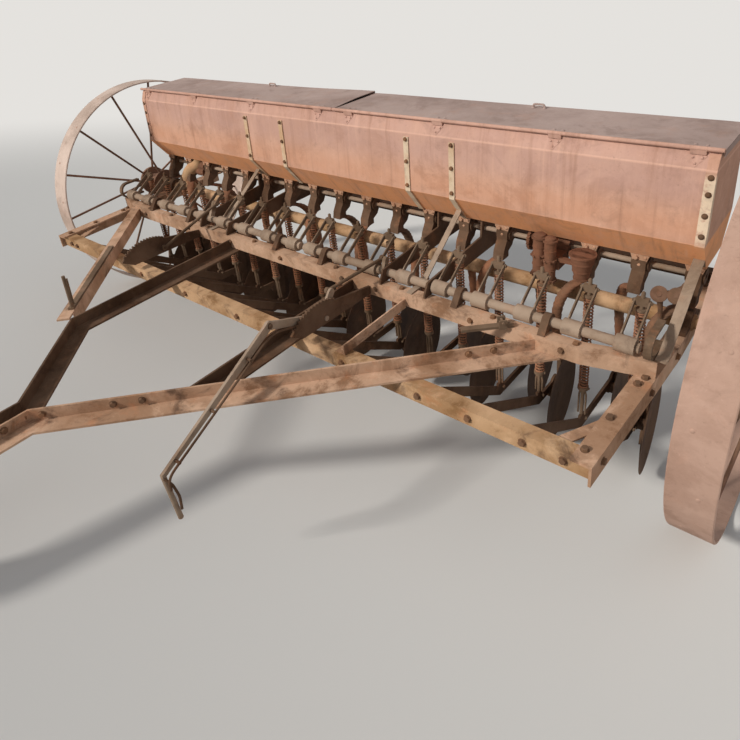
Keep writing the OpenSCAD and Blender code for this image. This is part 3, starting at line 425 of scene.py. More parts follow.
class DrillSizes(bpy.types.PropertyGroup):
    """Sizes of the pieces that dress the solids."""

    wire: length_property("Spring wire", "Thickness of the pressure springs' wire", 0.0060, 0.003, 0.008)
    coils: bpy.props.IntProperty(name="Spring coils", description="Turns in each pressure spring",
                                 default=31, min=8, max=36)
    ribs: bpy.props.IntProperty(name="Tube ribs", description="Ribbon turns in each seed tube",
                                default=15, min=6, max=30)
    bolt: length_property("Bolt heads", "Half width of the frame's bolt heads", 0.011, 0.006, 0.018)
    rivet: length_property("Rivets", "Half width of the box's rivets", 0.006, 0.003, 0.01)
    lid_lift: length_property("Lid lift", "How far the left lid's inner end is bent up", 0.0098, 0.0, 0.012)
    dents: length_property("Dents", "Depth of the waves in the lids' sheet", 0.002, 0.0, 0.003)


# Each finish: its main tone, second tone and flares, each a tone's name and a change in lightness, then the
# shares of stains and of flares, and what differs from the usual rust
FINISHES = {
    "Box rust": (("box", 0), ("box", -14), ("flare", 0), 0.24, 0.16, {"streak": 0.42}),
    "Edge rust": (("box", 0), ("box", -14), ("flare", 0), 0.24, 0.16, {"streak": 0.20}),
    "Strap rust": (("bare", -14), ("beam", 4), ("flare", 0), 0.60, 0.40, {}),
    "Lid rust": (("lid", 0), ("lid", -12), ("box", -30), 0.16, 0.26, {"polish": 0.12}),
    "Beam rust": (("beam", 0), ("beam", -34), ("flare", 0), 0.85, 0.42, {"mottle": 0.85}),
    "Frame rust": (("frame", 4), ("frame", -32), ("flare", 0), 0.85, 0.42, {"mottle": 0.85}),
    # Painted shade: bolt and rivet heads get the frame's tone made much darker, as if the heads stood in
    # shadow
    "Bolt rust": (("frame", -62), ("casting", 0), ("flare", 0), 0.40, 0.24, {}),
    # Painted shade: the castings' dark tone laid on frame parts that stand in shadow
    "Shaded rust": (("casting", 0), ("casting", -30), ("flare", 0), 0.50, 0.16, {}),
    "Bar rust": (("bar", -6), ("bar", -32), ("flare", 0), 0.42, 0.20, {"polish": 0.2}),
    "Shaft rust": (("bar", -8), ("bar", -34), ("flare", 0), 0.50, 0.20, {"polish": 0.2}),
    "Rod rust": (("bar", -52), ("bar", -84), ("flare", 0), 0.40, 0.30, {"polish": 0.2}),
    "Spring rust": (("spring", 0), ("spring", -30), ("flare", 0), 0.30, 0.30, {}),
    "Casting rust": (("casting", 4), ("casting", -28), ("flare", 0), 0.50, 0.26, {"depth": 0.0010}),
    "Tab rust": (("tab", 0), ("tab", -22), ("flare", 0), 0.35, 0.24, {}),
    "Drive rust": (("drive", 0), ("casting", -4), ("flare", 0), 0.50, 0.34, {"depth": 0.0010}),
    "Tube rust": (("spring", -14), ("casting", 10), ("flare", 0), 0.40, 0.30, {}),
    "Blade rust": (("casting", -10), ("casting", -38), ("flare", 0), 0.50, 0.14, {"polish": 0.4}),
    "Tread rust": (("wheel", 0), ("wheel", -15), ("box", -8), 0.16, 0.26, {"polish": 0.3}),
    # Painted sunlight: the left wheel's tread in the lighter rim tone
    "Sunlit tread rust": (("rim", 0), ("rim", -22), ("box", -8), 0.20, 0.16, {"polish": 0.2}),
    "Hub rust": (("wheel", -60), ("casting", 0), ("flare", 0), 0.45, 0.24, {}),
}

# Which finish each solid gets
FINISH_OF_NODE = {
    "Box rust": ("grain_box", "lid_hinge_rod"),
    "Edge rust": ("box_end_left", "box_end_right"),
    "Lid rust": ("lid_left", "lid_right"),
    "Beam rust": ("front_beam", "axle"),
    "Strap rust": ("box_straps",),
    "Frame rust": ("side_members", "cross_rail", "drawbar_arm_right", "drawbar_diagonal_left", "beam_braces"),
    # These solids get the painted shade of Shaded rust
    "Shaded rust": ("rear_beam", "drawbar_arm_left", "drawbar_bar_right", "stand_bracket", "stand_leg",
                    "box_sills", "drag_pivot", "drag_bars", "hitch_clevis"),
    "Bar rust": ("feed_shaft", "hand_lever_right", "box_struts"),
    "Shaft rust": ("rock_shaft_left", "rock_shaft_right"),
    "Rod rust": ("pressure_rods", "rail_fittings", "lift_links", "hand_lever_left"),
    "Casting rust": ("axle_caps", "feed_cups", "rock_bearings", "disc_boots", "lever_sector_left",
                     "lever_sector_right"),
    "Drive rust": ("feed_drive_right", "feed_drive_left"),
    "Tube rust": ("seed_tubes",),
    "Blade rust": ("disc_blades",),
    "Tread rust": ("rim_right",),
    "Sunlit tread rust": ("rim_left",),
    "Hub rust": ("hub_left", "hub_right"),
}


class DRILL_OT_finishes(bpy.types.Operator):
    """Makes the rust finishes and puts them on the solids"""

    bl_idname = "drill.finishes"
    bl_label = "Rust finishes"

    def execute(self, context):
        tones = context.scene.drill_rust

        def tone(name, change=0):
            return lighter([v * 255 for v in getattr(tones, name)], change)

        low = band_zone(BOX_FLOOR - 0.02, BOX_LOW, tone("box_low"), 0.9)
        warm = band_zone(BOX_LOW, BOX_LOW + 0.09, tone("flare", 12), 0.34, soft=0.055)
        cool = band_zone(BOX_CREASE - 0.11, BOX_TOP + 0.02, tone("lilac"), 0.5, soft=0.05)
        # Painted highlight: a lighter band along the upper crease of the box's front and ends
        crease_highlight = band_zone(BOX_CREASE - 0.003, BOX_CREASE + 0.004, tone("box", 18), 0.6, soft=0.002)
        zones = {"Box rust": (warm, cool, low, crease_highlight),
                 "Edge rust": (low, crease_highlight, fold_zone(tone("bare"), 0.545, 0.9)),
                 "Shaft rust": (arm_zone(tone("bar", -62), 0.85),)}
        for name, (main, second, flare, stains, flares, extras) in FINISHES.items():
            rust(name, tone(*main), tone(*second), tone("deep"), tone(*flare), stains, flares,
                 zones=zones.get(name, ()), **extras)
        for finish, nodes in FINISH_OF_NODE.items():
            for name in nodes:
                solid = frame["nodes"][name]
                solid.data.materials.clear()
                solid.data.materials.append(bpy.data.materials[finish])
        return {"FINISHED"}


class DRILL_OT_springs(bpy.types.Operator):
    """Pressure rods with coil springs, collars and pinned trunnions, in place of the plain rods"""

    bl_idname = "drill.springs"
    bl_label = "Pressure springs"

    rod_r, spring_r, rod_rise, top_collar = 0.007, 0.018, 0.034, 0.008
    collar, neck, neck_r, chamfer = 0.012, 0.026, 0.010, 0.002
    trunnion_half, pin, collar_pin = 0.014, 0.006, 0.005
    fork_wire, fork_root, fork_spread, fork_bend = 0.0038, 0.003, 0.013, 0.012
    turn_steps, wire_sides = 12, 6

    def rod_outline(self, low):
        """Radius and height pairs of a rod with its two collars, from its foot up."""
        r, s, edge = self.rod_r, self.spring_r, self.chamfer
        down = [(r * 0.6, TIP.z + self.rod_rise + edge), (r, TIP.z + self.rod_rise - edge),
                (r, SPRING_TOP + self.top_collar), (s, SPRING_TOP + self.top_collar), (s, SPRING_TOP),
                (r, SPRING_TOP - 0.001), (r, COLLAR_Z + 0.001), (s + edge, COLLAR_Z),
                (s + edge, COLLAR_Z - self.collar), (self.neck_r, COLLAR_Z - self.collar - edge),
                (self.neck_r, COLLAR_Z - self.neck), (r, COLLAR_Z - self.neck - edge), (r, low + 0.001)]
        return down[::-1]

    def spring_path(self, x, coils, wire):
        """The middle line of a spring's wire, with about one flat turn at each end."""
        reach, top, low = self.spring_r - wire / 2, SPRING_TOP - wire, COLLAR_Z + wire / 2
        steps = coils * self.turn_steps
        path = []
        for i in range(steps + 1):
            share = i / steps
            a = math.tau * coils * share
            fall = clamped(share * 1.08 - 0.04)
            path.append((x + reach * math.cos(a), TIP.y + reach * math.sin(a), top + (low - top) * fall))
        return path

    def execute(self, context):
        sizes = context.scene.drill_sizes
        bars, coils = Metalwork(), Metalwork()
        half = ARM_GAP / 2 - 0.0005
        for row in rows():
            x, low = row.rod, row.disc_z + LUG_RISE + LUG_HEIGHT
            bars.turned(self.rod_outline(low), Matrix.Translation((x, TIP.y, 0)), 12)
            bars.block((x - half, TIP.y - ARM_HALF, TIP.z - self.trunnion_half),
                       (x + half, TIP.y + ARM_HALF, TIP.z + self.trunnion_half))
            for way in (-1, 1):
                pin = (x + way * (ARM_GAP / 2 + 0.0052), TIP.y, TIP.z)
                bars.bolt(facing(pin, (way, 0, 0)), self.pin, washer=False)
                prong = x + way * self.fork_spread
                fork = [(x + way * self.fork_root, TIP.y, COLLAR_Z - 0.016), (prong, TIP.y, COLLAR_Z - 0.034),
                        (prong, TIP.y, low + 0.004)]
                bars.tube(rounded(fork, self.fork_bend), self.fork_wire, 8)
            bars.bolt(facing((x + 0.0175, TIP.y, low - 0.014), RIGHTWARD), self.pin)
            spot = (x + self.spring_r + 0.001, TIP.y, COLLAR_Z - self.collar / 2)
            bars.bolt(facing(spot, RIGHTWARD), self.collar_pin, washer=False)
            coils.tube(self.spring_path(x, sizes.coils, sizes.wire), sizes.wire / 2, self.wire_sides)
        piece = bars.build("pressure_rod_bars", "Rod rust", "mauve_rust")
        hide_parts("pressure_rods")
        coils.build("pressure_springs", "Spring rust", "mauve_rust")
        return {"FINISHED"}


class DRILL_OT_seed_tubes(bpy.types.Operator):
    """Seed tubes wound from steel ribbon, in place of the plain tubes"""

    bl_idname = "drill.seed_tubes"
    bl_label = "Seed tubes"

    wide, narrow, sides = 0.024, 0.017, 16
    cup_back, knee_back, knee_front, knee_height, knee_lean = 0.048, 0.165, -0.122, 0.046, 1.2
    boot_inset, seat = 0.010, 0.0003
    # Places along one turn of the ribbon, and the share of the tube's radius there
    rib = ((0.0, 0.965), (0.12, 1.0), (0.86, 0.90), (0.99, 0.89))

    def tube_rings(self, row, ribs):
        """Level rings down a tube on the right side, mirrored where its row is on the left."""
        cup, opener = abs(row.cup), abs(row.opener)
        start = Vector((cup, FEED.y - self.cup_back, CUP_FOOT - self.seat))
        knee_y = self.knee_back if row.back else self.knee_front
        knee = Vector((opener - self.knee_lean * (cup - opener), knee_y, self.knee_height))
        end = Vector((opener - self.boot_inset, row.disc_y + BOOT_BACK, row.disc_z + BOOT_TOP + self.seat))
        turns = [math.tau * i / self.sides for i in range(self.sides)]
        rings = []
        for k in range(ribs):
            for share, swell in self.rib:
                t = (k + share) / ribs
                middle = start.lerp(knee, t).lerp(knee.lerp(end, t), t)
                r = (self.wide * (1 - t) + self.narrow * t) * swell
                rings.append([Vector((row.side * (middle.x + r * math.cos(a)), middle.y + r * math.sin(a),
                                      middle.z)) for a in turns])
        return rings[::-1] if row.side > 0 else rings

    def execute(self, context):
        tubes = Metalwork()
        for row in rows():
            tubes.skin(self.tube_rings(row, context.scene.drill_sizes.ribs))
        piece = tubes.build("ribbon_seed_tubes", "Tube rust", "orange_rust", smooth=50)
        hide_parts("seed_tubes")
        return {"FINISHED"}


class DRILL_OT_lids(bpy.types.Operator):
    """Sheet lids with shallow dents, the left one bent up at its inner end"""

    bl_idname = "drill.lids"
    bl_label = "Bent lids"

    inner, steps_x, steps_y = 0.003, 60, 12
    front, back, hem = HINGE.y + 0.002, LID_BACK + LID_SHEET, 0.0012
    roll_r, knuckle_gap = 0.007, 0.0005
    grip_r, grip_bend, grip_inset, grip_sink, grip_bolt = 0.004, 0.008, 0.030, 0.001, 0.0075
    # Over what width the dents fade out: at the hinge, at the inner end and at the outer end
    flat_hinge, flat_inner, flat_outer = 0.05, 0.10, 0.08
    bend_length, bend_depth, bend_power = 0.5, 0.20, 1.6

    def sheet_height(self, x, y, side, sizes):
        """How far the sheet rises over its flat place."""
        fade = clamped((y - HINGE.y) / self.flat_hinge) * clamped((abs(x) - self.inner) / self.flat_inner)
        fade *= clamped((LID_END - abs(x)) / self.flat_outer)
        broad = noise.noise(Vector((x * 2.3, y * 5, side * 3)))
        wave = broad + 0.5 * noise.noise(Vector((x * 7, y * 11, side)))
        rise = (wave * 0.5 + 0.5) * sizes.dents * fade
        if side < 0:
            along = max(0, 1 - (abs(x) - self.inner) / self.bend_length)
            back = clamped((y - HINGE.y - 0.01) / self.bend_depth)
            rise += sizes.lid_lift * along ** self.bend_power * math.sin(back * math.pi / 2)
        return rise

    def section(self, x, side, sizes):
        """The sheet cut at x: its top from hinge to back, its rear skirt and its underside."""
        span = self.back - self.front
        lines = [self.front + span * j / self.steps_y for j in range(self.steps_y + 1)]
        top = [(x, y, LID_TOP + self.sheet_height(x, y, side, sizes)) for y in lines]
        rise = top[-1][2] - LID_TOP
        skirt = [(x, self.back + self.hem, LID_LOW + rise), (x, self.back, LID_LOW - LID_SKIRT + rise),
                 (x, self.back - LID_SHEET, LID_LOW - LID_SKIRT + rise),
                 (x, self.back - LID_SHEET, LID_LOW + rise)]
        under = [(x, y, z - LID_SHEET) for x, y, z in top[-2::-1]]
        return [Vector((side * p[0], p[1], p[2])) for p in top + skirt + under]

    def sheet(self, work, side, sizes):
        """The bent sheet and the skirt over the box's end."""
        outer = LID_END + LID_SHEET
        columns = [self.inner + (outer - self.inner) * i / self.steps_x for i in range(self.steps_x + 1)]
        rings = [self.section(x, side, sizes) for x in columns]
        work.skin(rings if side < 0 else rings[::-1])
        end = [(self.front + 0.012, LID_LOW - LID_SKIRT), (self.back, LID_LOW - LID_SKIRT),
               (self.back, LID_LOW + 0.001), (self.front + 0.012, LID_LOW + 0.001)]
        work.prism(end, min(side * LID_END, side * outer), max(side * LID_END, side * outer))

    def fittings(self, work, side, sizes):
        """The handle with its two bolts, and the rivets of the hinge leaves."""
        feet = [side * (HANDLE_X[side] + s * HANDLE_LENGTH / 2) for s in (-1, 1)]
        y = LID_BACK - self.grip_inset
        low, high = LID_TOP - self.grip_sink, LID_TOP + HANDLE_HEIGHT
        grip = [(feet[0], y, low), (feet[0], y, high), (feet[1], y, high), (feet[1], y, low)]
        work.tube(rounded(grip, self.grip_bend), self.grip_r, 10)
        for x in feet:
            work.bolt(facing((x, y, LID_TOP + self.grip_sink), UPWARD), self.grip_bolt, domed=True)
        for k in KNUCKLES:
            for s in (-0.016, 0.016):
                spot = (side * (k + s), HINGE.y + 0.030, LID_TOP + 0.0005)
                work.bolt(facing(spot, UPWARD), sizes.rivet, washer=False, domed=True)

    def execute(self, context):
        sizes = context.scene.drill_sizes
        clear = KNUCKLE_LENGTH / 2 + self.knuckle_gap
        starts = (self.inner,) + tuple(k + clear for k in KNUCKLES)
        ends = tuple(k - clear for k in KNUCKLES) + (LID_END + LID_SHEET,)
        for word, side in SIDES.items():
            work, roll = Metalwork(), Metalwork()
            self.sheet(work, side, sizes)
            self.fittings(work, side, sizes)
            for a, b in zip(starts, ends):
                roll.tube([(side * a, HINGE.y, HINGE.z), (side * b, HINGE.y, HINGE.z)], self.roll_r, 14)
            piece = work.build(f"sheet_lid_{word}", "Lid rust", "mauve_rust", f"lid_{word}")
            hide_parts(f"lid_{word}")
            roll.build(f"lid_roll_{word}", "Box rust", "mauve_rust", f"lid_{word}")
        return {"FINISHED"}


class DRILL_OT_box_trim(bpy.types.Operator):
    """Bolted tabs in front of the feed cups and pointed hinge leaves on the box's top band"""

    bl_idname = "drill.box_trim"
    bl_label = "Cup tabs and hinge leaves"

    tab_sheet, tab_gap, tab_waist, tab_tip = 0.0012, 0.0008, 0.019, 0.007
    waist_drop, tip_drop = 0.040, 0.060
    # A tab's bolts: X from its cup, Z from the box's floor, half width, and whether the head is domed
    tab_bolts = ((-0.012, -0.014, 0.0085, False), (0.019, -0.013, 0.006, True), (0.0, -0.042, 0.006, True))
    leaf_half, leaf_sheet, leaf_seat, leaf_rivet = 0.026, 0.0009, 0.0004, 0.0045
    leaf_foot, leaf_end, leaf_points = 0.34, 0.92, (-0.002, -0.010)
    # A leaf's rivets: share of the way from the box's edge to its crease, and X from the knuckle
    leaf_rivets = ((0.44, -0.013), (0.44, 0.013), (0.72, -0.004))

    def tab(self, tabs, cup):
        """One tab under the box's floor, with its three bolts."""
        front = Matrix.Translation((cup, CUP_FRONT - SEAT, 0)) @ Matrix.Rotation(math.pi / 2, 4, "Z")
        top, waist, tip = BOX_FLOOR - self.tab_gap, BOX_FLOOR - self.waist_drop, BOX_FLOOR - self.tip_drop
        outline = [(CUP_HALF, top), (-CUP_HALF, top), (-self.tab_waist, waist), (-self.tab_tip, tip),
                   (self.tab_tip, tip), (self.tab_waist, waist)]
        tabs.prism(outline, -self.tab_sheet, 0, front)
        for across, height, size, domed in self.tab_bolts:
            spot = (cup + across, CUP_FRONT - self.tab_sheet - 0.0003, BOX_FLOOR + height)
            tabs.bolt(facing(spot, FORWARD), size, washer=not domed, domed=domed)

    def leaf(self, leaves, x):
        """One pointed leaf on the top band, with its three rivets."""
        out = Vector((0, -(EDGE - CREASE).z, (EDGE - CREASE).y)).normalized()
        foot = EDGE.lerp(CREASE, self.leaf_foot) + out * self.leaf_seat
        tip = EDGE.lerp(CREASE, self.leaf_end) + out * self.leaf_seat
        low = [foot + Vector((x - self.leaf_half, 0, 0)), foot + Vector((x + self.leaf_half, 0, 0))]
        low += [tip + Vector((x + dx, 0, 0)) for dx in self.leaf_points]
        leaves.skin([low, [p + out * self.leaf_sheet for p in low]])
        for share, dx in self.leaf_rivets:
            spot = EDGE.lerp(CREASE, share) + out * 0.002 + Vector((x + dx, 0, 0))
            leaves.bolt(facing(spot, out), self.leaf_rivet, washer=False, domed=True)

    def execute(self, context):
        tabs, leaves = Metalwork(), Metalwork()
        for row in rows():
            self.tab(tabs, row.cup)
        tabs.build("cup_tabs", "Tab rust", "pale_rust")
        for side in SIDES.values():
            for k in KNUCKLES:
                self.leaf(leaves, side * k)
        leaves.build("hinge_leaves", "Box rust", "pale_rust")
        return {"FINISHED"}


class DRILL_OT_lever_trim(bpy.types.Operator):
    """The right hand lever's latch rod and trigger, and the stop plates at the right end"""

    bl_idname = "drill.lever_trim"
    bl_label = "Latches and stop plates"

    aside, rod_r, guide_r, trigger_r = Vector((0.023, 0.001, 0)), 0.004, 0.005, 0.0042
    guides = (0.25, 0.60, 0.90)
    # The trigger: share of the way from the elbow to the grip's foot, and X and Y from the grip there
    trigger = ((0.02, 0.006, 0.002), (0.10, 0.026, 0.010), (0.45, 0.021, 0.016), (0.78, 0.011, 0.010))
    sector_bolt = (0.4205, -0.660, 0.022)
    plate_r, plate_y, plate_way = 0.028, -0.080, Vector((0, -0.80, 0.60))
    # Middles of the two plates: X, Z
    plates = ((1.434, 0.126), (1.487, 0.134))

    def latch(self):
        work = Metalwork()
        upper, lower = LEVER_KNEE.lerp(LEVER_ELBOW, 0.10), LEVER_KNEE.lerp(LEVER_ELBOW, 0.985)
        rod = [LEVER_KNEE + Vector((0.012, 0.150, -0.075)), LEVER_KNEE + Vector((0.014, 0.015, -0.030)),
               upper + self.aside + Vector((0, 0, -0.010)), lower + self.aside,
               LEVER_ELBOW.lerp(GRIP_FOOT, 0.22) + self.aside * 1.1]
        work.tube(rounded(rod, 0.03), self.rod_r, 8)
        for share in self.guides:
            guide = LEVER_KNEE.lerp(LEVER_ELBOW, share)
            work.tube([guide + self.aside * 0.2, guide + self.aside * 1.15], self.guide_r, 8)
        path = [LEVER_ELBOW.lerp(GRIP_FOOT, share) + Vector((dx, dy, 0)) for share, dx, dy in self.trigger]
        work.tube(rounded(path, 0.016), self.trigger_r, 8)
        work.bolt(facing(LEVER_KNEE + Vector((0.0055, 0, 0)), RIGHTWARD), 0.010)
        work.bolt(facing(self.sector_bolt, RIGHTWARD), 0.013)
        work.build("lever_latches", "Casting rust", "dark_rust")

    def stop_plates(self):
        work, r = Metalwork(), self.plate_r
        for x, z in self.plates:
            at = facing((x, self.plate_y, z), self.plate_way)
            plate = [(r, -0.003), (r, 0.0), (r * 0.97, 0.0008), (r * 0.35, 0.001), (r * 0.3, 0.0022)]
            work.turned(plate, at, 36)
        first, second = (1.434, -0.076, 0.122), (1.487, -0.075, 0.132)
        work.tube([first, (1.442, -0.074, 0.070), (1.446, -0.076, 0.020)], [0.013, 0.008, 0.006], 10)
        work.tube([second, (1.494, -0.030, 0.150), (1.505, 0.017, 0.160)], 0.006, 10)
        work.tube([(1.434, -0.074, 0.126), (1.465, -0.060, 0.134), (1.493, -0.036, 0.147)], 0.0055, 10)
        work.build("stop_plates", "Hub rust", "pale_rust")

    def execute(self, context):
        self.latch()
        self.stop_plates()
        return {"FINISHED"}


class DRILL_OT_drive_trim(bpy.types.Operator):
    """Ribs, flanges and bolts on the castings of the feed drive, and the bent chute at the left end"""

    bl_idname = "drill.drive_trim"
    bl_label = "Drive ribs and bolts"

    # The lobes: X, Y, radius, lowest and highest point
    lobes = ((0.9979, -0.060, 0.024, 0.076, 0.236), (1.0399, -0.060, 0.022, 0.056, 0.230))
    # A lobe's ribs: share of its height, how far they stand out, and how tall they are
    lobe_ribs = ((0.03, 0.005, 0.007), (0.28, 0.002, 0.004), (0.52, 0.005, 0.008), (0.74, 0.002, 0.004),
                 (0.97, 0.006, 0.007))
    bolt_shares, bolt_turns, lobe_bolt = (0.03, 0.52), (-2.5, -1.9, -1.2, -0.6), 0.0055
    # The funnel: X, Y, radius at its foot and at its top, lowest and highest point
    funnel = (1.1559, -0.042, 0.026, 0.046, 0.090, 0.190)
    # The funnel's ribs: share of its height, and how far they stand out
    funnel_ribs, funnel_rib_half = ((0.02, 0.004), (0.35, 0.002), (0.68, 0.002), (0.97, 0.0035)), 0.003
    boss_x, boss_ring, boss_bolt, boss_bolts = 0.9155, 0.030, 0.006, 6
    chute_r, chute_swell, chute_bend = 0.032, 0.005, 0.075

    def rib(self, work, middle, r, out, height, half, sides):
        """A band round a casting of radius r."""
        low, high = height - half, height + half
        work.turned([(r * 0.9, low), (r + out, low), (r + out, high), (r * 0.9, high)], middle, sides)

    def lobe(self, work, x, y, r, low, high):
        middle = Matrix.Translation((x, y, 0))
        for share, out, tall in self.lobe_ribs:
            self.rib(work, middle, r, out, low + (high - low) * share, tall / 2, 28)
        work.turned([(r, high - 0.002), (r * 0.92, high + 0.006), (r * 0.5, high + 0.010),
                     (r * 0.2, high + 0.012)], middle, 24)
        reach = r + 0.004
        for share in self.bolt_shares:
            for turn in self.bolt_turns:
                spot = (x + reach * math.cos(turn), y + reach * math.sin(turn), low + (high - low) * share)
                way = (math.cos(turn), math.sin(turn), 0)
                work.bolt(facing(spot, way), self.lobe_bolt, washer=False)

    def chute(self):
        """A bent pipe from under the box's floor round to the axle, at the left."""
        work = Metalwork()
        route = [(-1.262, FEED.y - 0.004, BOX_FLOOR - 0.0005), (-1.268, FEED.y - 0.006, 0.166),
                 (-1.338, 0.020, 0.132), (-1.385, 0.010, 0.070), (-1.360, 0.004, 0.020), (-1.255, 0.0, 0.004)]
        path = rounded(route, self.chute_bend, 6)
        last = len(path) - 1
        radii = [self.chute_r + self.chute_swell * math.sin(math.pi * i / last) for i in range(len(path))]
        work.tube(path, radii, 18)
        work.build("bent_chute", "Beam rust", "orange_rust")

    def execute(self, context):
        ribs = Metalwork()
        for lobe in self.lobes:
            self.lobe(ribs, *lobe)
        x, y, r0, r1, low, high = self.funnel
        middle = Matrix.Translation((x, y, 0))
        for share, out in self.funnel_ribs:
            r, height = r0 + (r1 - r0) * share, low + (high - low) * share
            self.rib(ribs, middle, r, out, height, self.funnel_rib_half, 30)
        for k in range(self.boss_bolts):
            a = math.tau * k / self.boss_bolts
            spot = (self.boss_x, FEED.y + self.boss_ring * math.cos(a), FEED.z + self.boss_ring * math.sin(a))
            ribs.bolt(facing(spot, RIGHTWARD), self.boss_bolt)
        ribs.build("drive_ribs", "Drive rust", "dark_rust")
        self.chute()
        return {"FINISHED"}


class DRILL_OT_fasteners(bpy.types.Operator):
    """Bolts and rivets on the frame, box, straps and wheels"""

    bl_idname = "drill.fasteners"
    bl_label = "Bolts and rivets"

    # Along the front beam and the rail
    beam_xs = (-1.40, -1.34, -1.05, -0.70, -0.34, 0.02, 0.32, 0.60, 0.927, 1.114, 1.293, 1.415)
    rail_face_xs = (-1.22, -0.81, -0.46, -0.10, 0.28, 0.46, 0.90, 1.24)
    rail_top_xs = (-1.20, -0.99, -0.66, -0.30, 0.23, 0.58, 0.98, 1.28)
    beam_drop, rail_height, rail_back, rail_share = 0.028, 0.022, 0.022, 0.9
    # On top of a side member: X, Y
    side_tops = ((1.460, -0.738), (1.470, -0.584), (1.484, -0.40), (1.494, -0.36), (1.499, 0.29),
                 (1.499, 0.31))
    side_ys, side_drop, splay_end = (-0.72, -0.38, -0.16, 0.14, 0.30), 0.030, -0.12
    # Along the slanting right arm and the tongue
    arm_ys = (-0.50, -0.56, -1.323, -1.389, -1.550, -1.590)
    tongue_ys, draw_height = (-1.66, -1.80, -2.02, -2.18), 0.012
    # Down the straps and the box's ends: share of the way from the crease to the lower one, and the seat
    strap_shares, strap_face = (0.10, 0.48, 0.90), 0.0056
    end_shares, end_face, end_inset = (0.08, 0.30, 0.58, 0.86), 0.003, 0.014
    # The tread's rivets: how many, degrees to the first, X from the rim's middle, radius and how they sit
    tread_count, tread_start, tread_offset, tread_rivet = 18, 11.5, 0.020, 0.0085
    tread_sink, tread_rise = 0.0035, 0.0025

    def side_bolts(self, work, side, size):
        for x, y in self.side_tops:
            work.bolt(facing((side * x, y, SIDE_TOP + SEAT), UPWARD), size)
        for y in self.side_ys:
            x = HALF_AXLE
            if y < self.splay_end:
                x = HALF_FRONT + (HALF_AXLE - HALF_FRONT) * (y + BEAM_REACH) / SPLAY_LENGTH
            work.bolt(facing((side * (x + 2 * SEAT), y, SIDE_TOP - self.side_drop), (side, 0, 0)), size)

    def frame_bolts(self, size):
        work = Metalwork()
        for x in self.beam_xs:
            work.bolt(facing((x, -BEAM_REACH - SEAT, BEAM_TOP - self.beam_drop), FORWARD), size)
        for side in SIDES.values():
            self.side_bolts(work, side, size)
        for y in self.arm_ys:
            x = DRAW_OFFSET + DRAW_APEX + y
            work.bolt(facing((x + SEAT, y - SEAT, self.draw_height), (1, -1, 0)), size)
        for y in self.tongue_ys:
            for side in (1, -1):
                x = DRAW_OFFSET + side * (TONGUE_HALF + SEAT)
                work.bolt(facing((x, y, self.draw_height), (side, 0, 0)), size)
        for x in self.rail_face_xs:
            work.bolt(facing((x, -RAIL_REACH - SEAT, self.rail_height), FORWARD), size * self.rail_share)
        for x in self.rail_top_xs:
            spot = (x, -RAIL_REACH + self.rail_back, RAIL_TOP + SEAT)
            work.bolt(facing(spot, UPWARD), size * self.rail_share)
        work.build("frame_bolts", "Bolt rust", "orange_rust")

    def box_rivets(self, rivet):
        work = Metalwork()
        upright = (LOW_CREASE - CREASE).normalized()
        out = Vector((0, upright.z, -upright.y))
        for x in STRAP_ROWS:
            for share in self.strap_shares:
                spot = CREASE.lerp(LOW_CREASE, share) + Vector((x, 0, 0)) + out * self.strap_face
                work.bolt(facing(spot, out), rivet * 1.3)
        for side in SIDES.values():
            x = side * (BOX_HALF - self.end_inset)
            for share in self.end_shares:
                spot = CREASE.lerp(LOW_CREASE, share) + Vector((x, 0, 0)) + out * self.end_face
                work.bolt(facing(spot, out), rivet * 1.4, domed=True)
        work.build("box_rivets", "Bolt rust", "orange_rust")

    def tread_rivets(self, side, word):
        """Rivet heads round one tread, apart from those that would stand past the solids' own box."""
        work = Metalwork()
        for i in range(self.tread_count):
            a = math.radians(self.tread_start) + math.tau * i / self.tread_count
            out = Vector((0, math.cos(a), math.sin(a)))
            tip = MACHINE @ (out * (WHEEL_R + self.tread_rise))
            if tip.z > CAD_BOX[0].z and tip.y < CAD_BOX[1].y:
                x = side * (WHEEL_X + (1 if i % 2 else -1) * self.tread_offset)
                spot = Vector((x, 0, 0)) + out * (WHEEL_R - self.tread_sink)
                work.bolt(facing(spot, out), self.tread_rivet, washer=False, domed=True)
        work.build(f"tread_rivets_{word}", "Tread rust", "mauve_rust", f"wheel_{word}")

    def execute(self, context):
        sizes = context.scene.drill_sizes
        self.frame_bolts(sizes.bolt)
        self.box_rivets(sizes.rivet)
        for word, side in SIDES.items():
            self.tread_rivets(side, word)
        return {"FINISHED"}


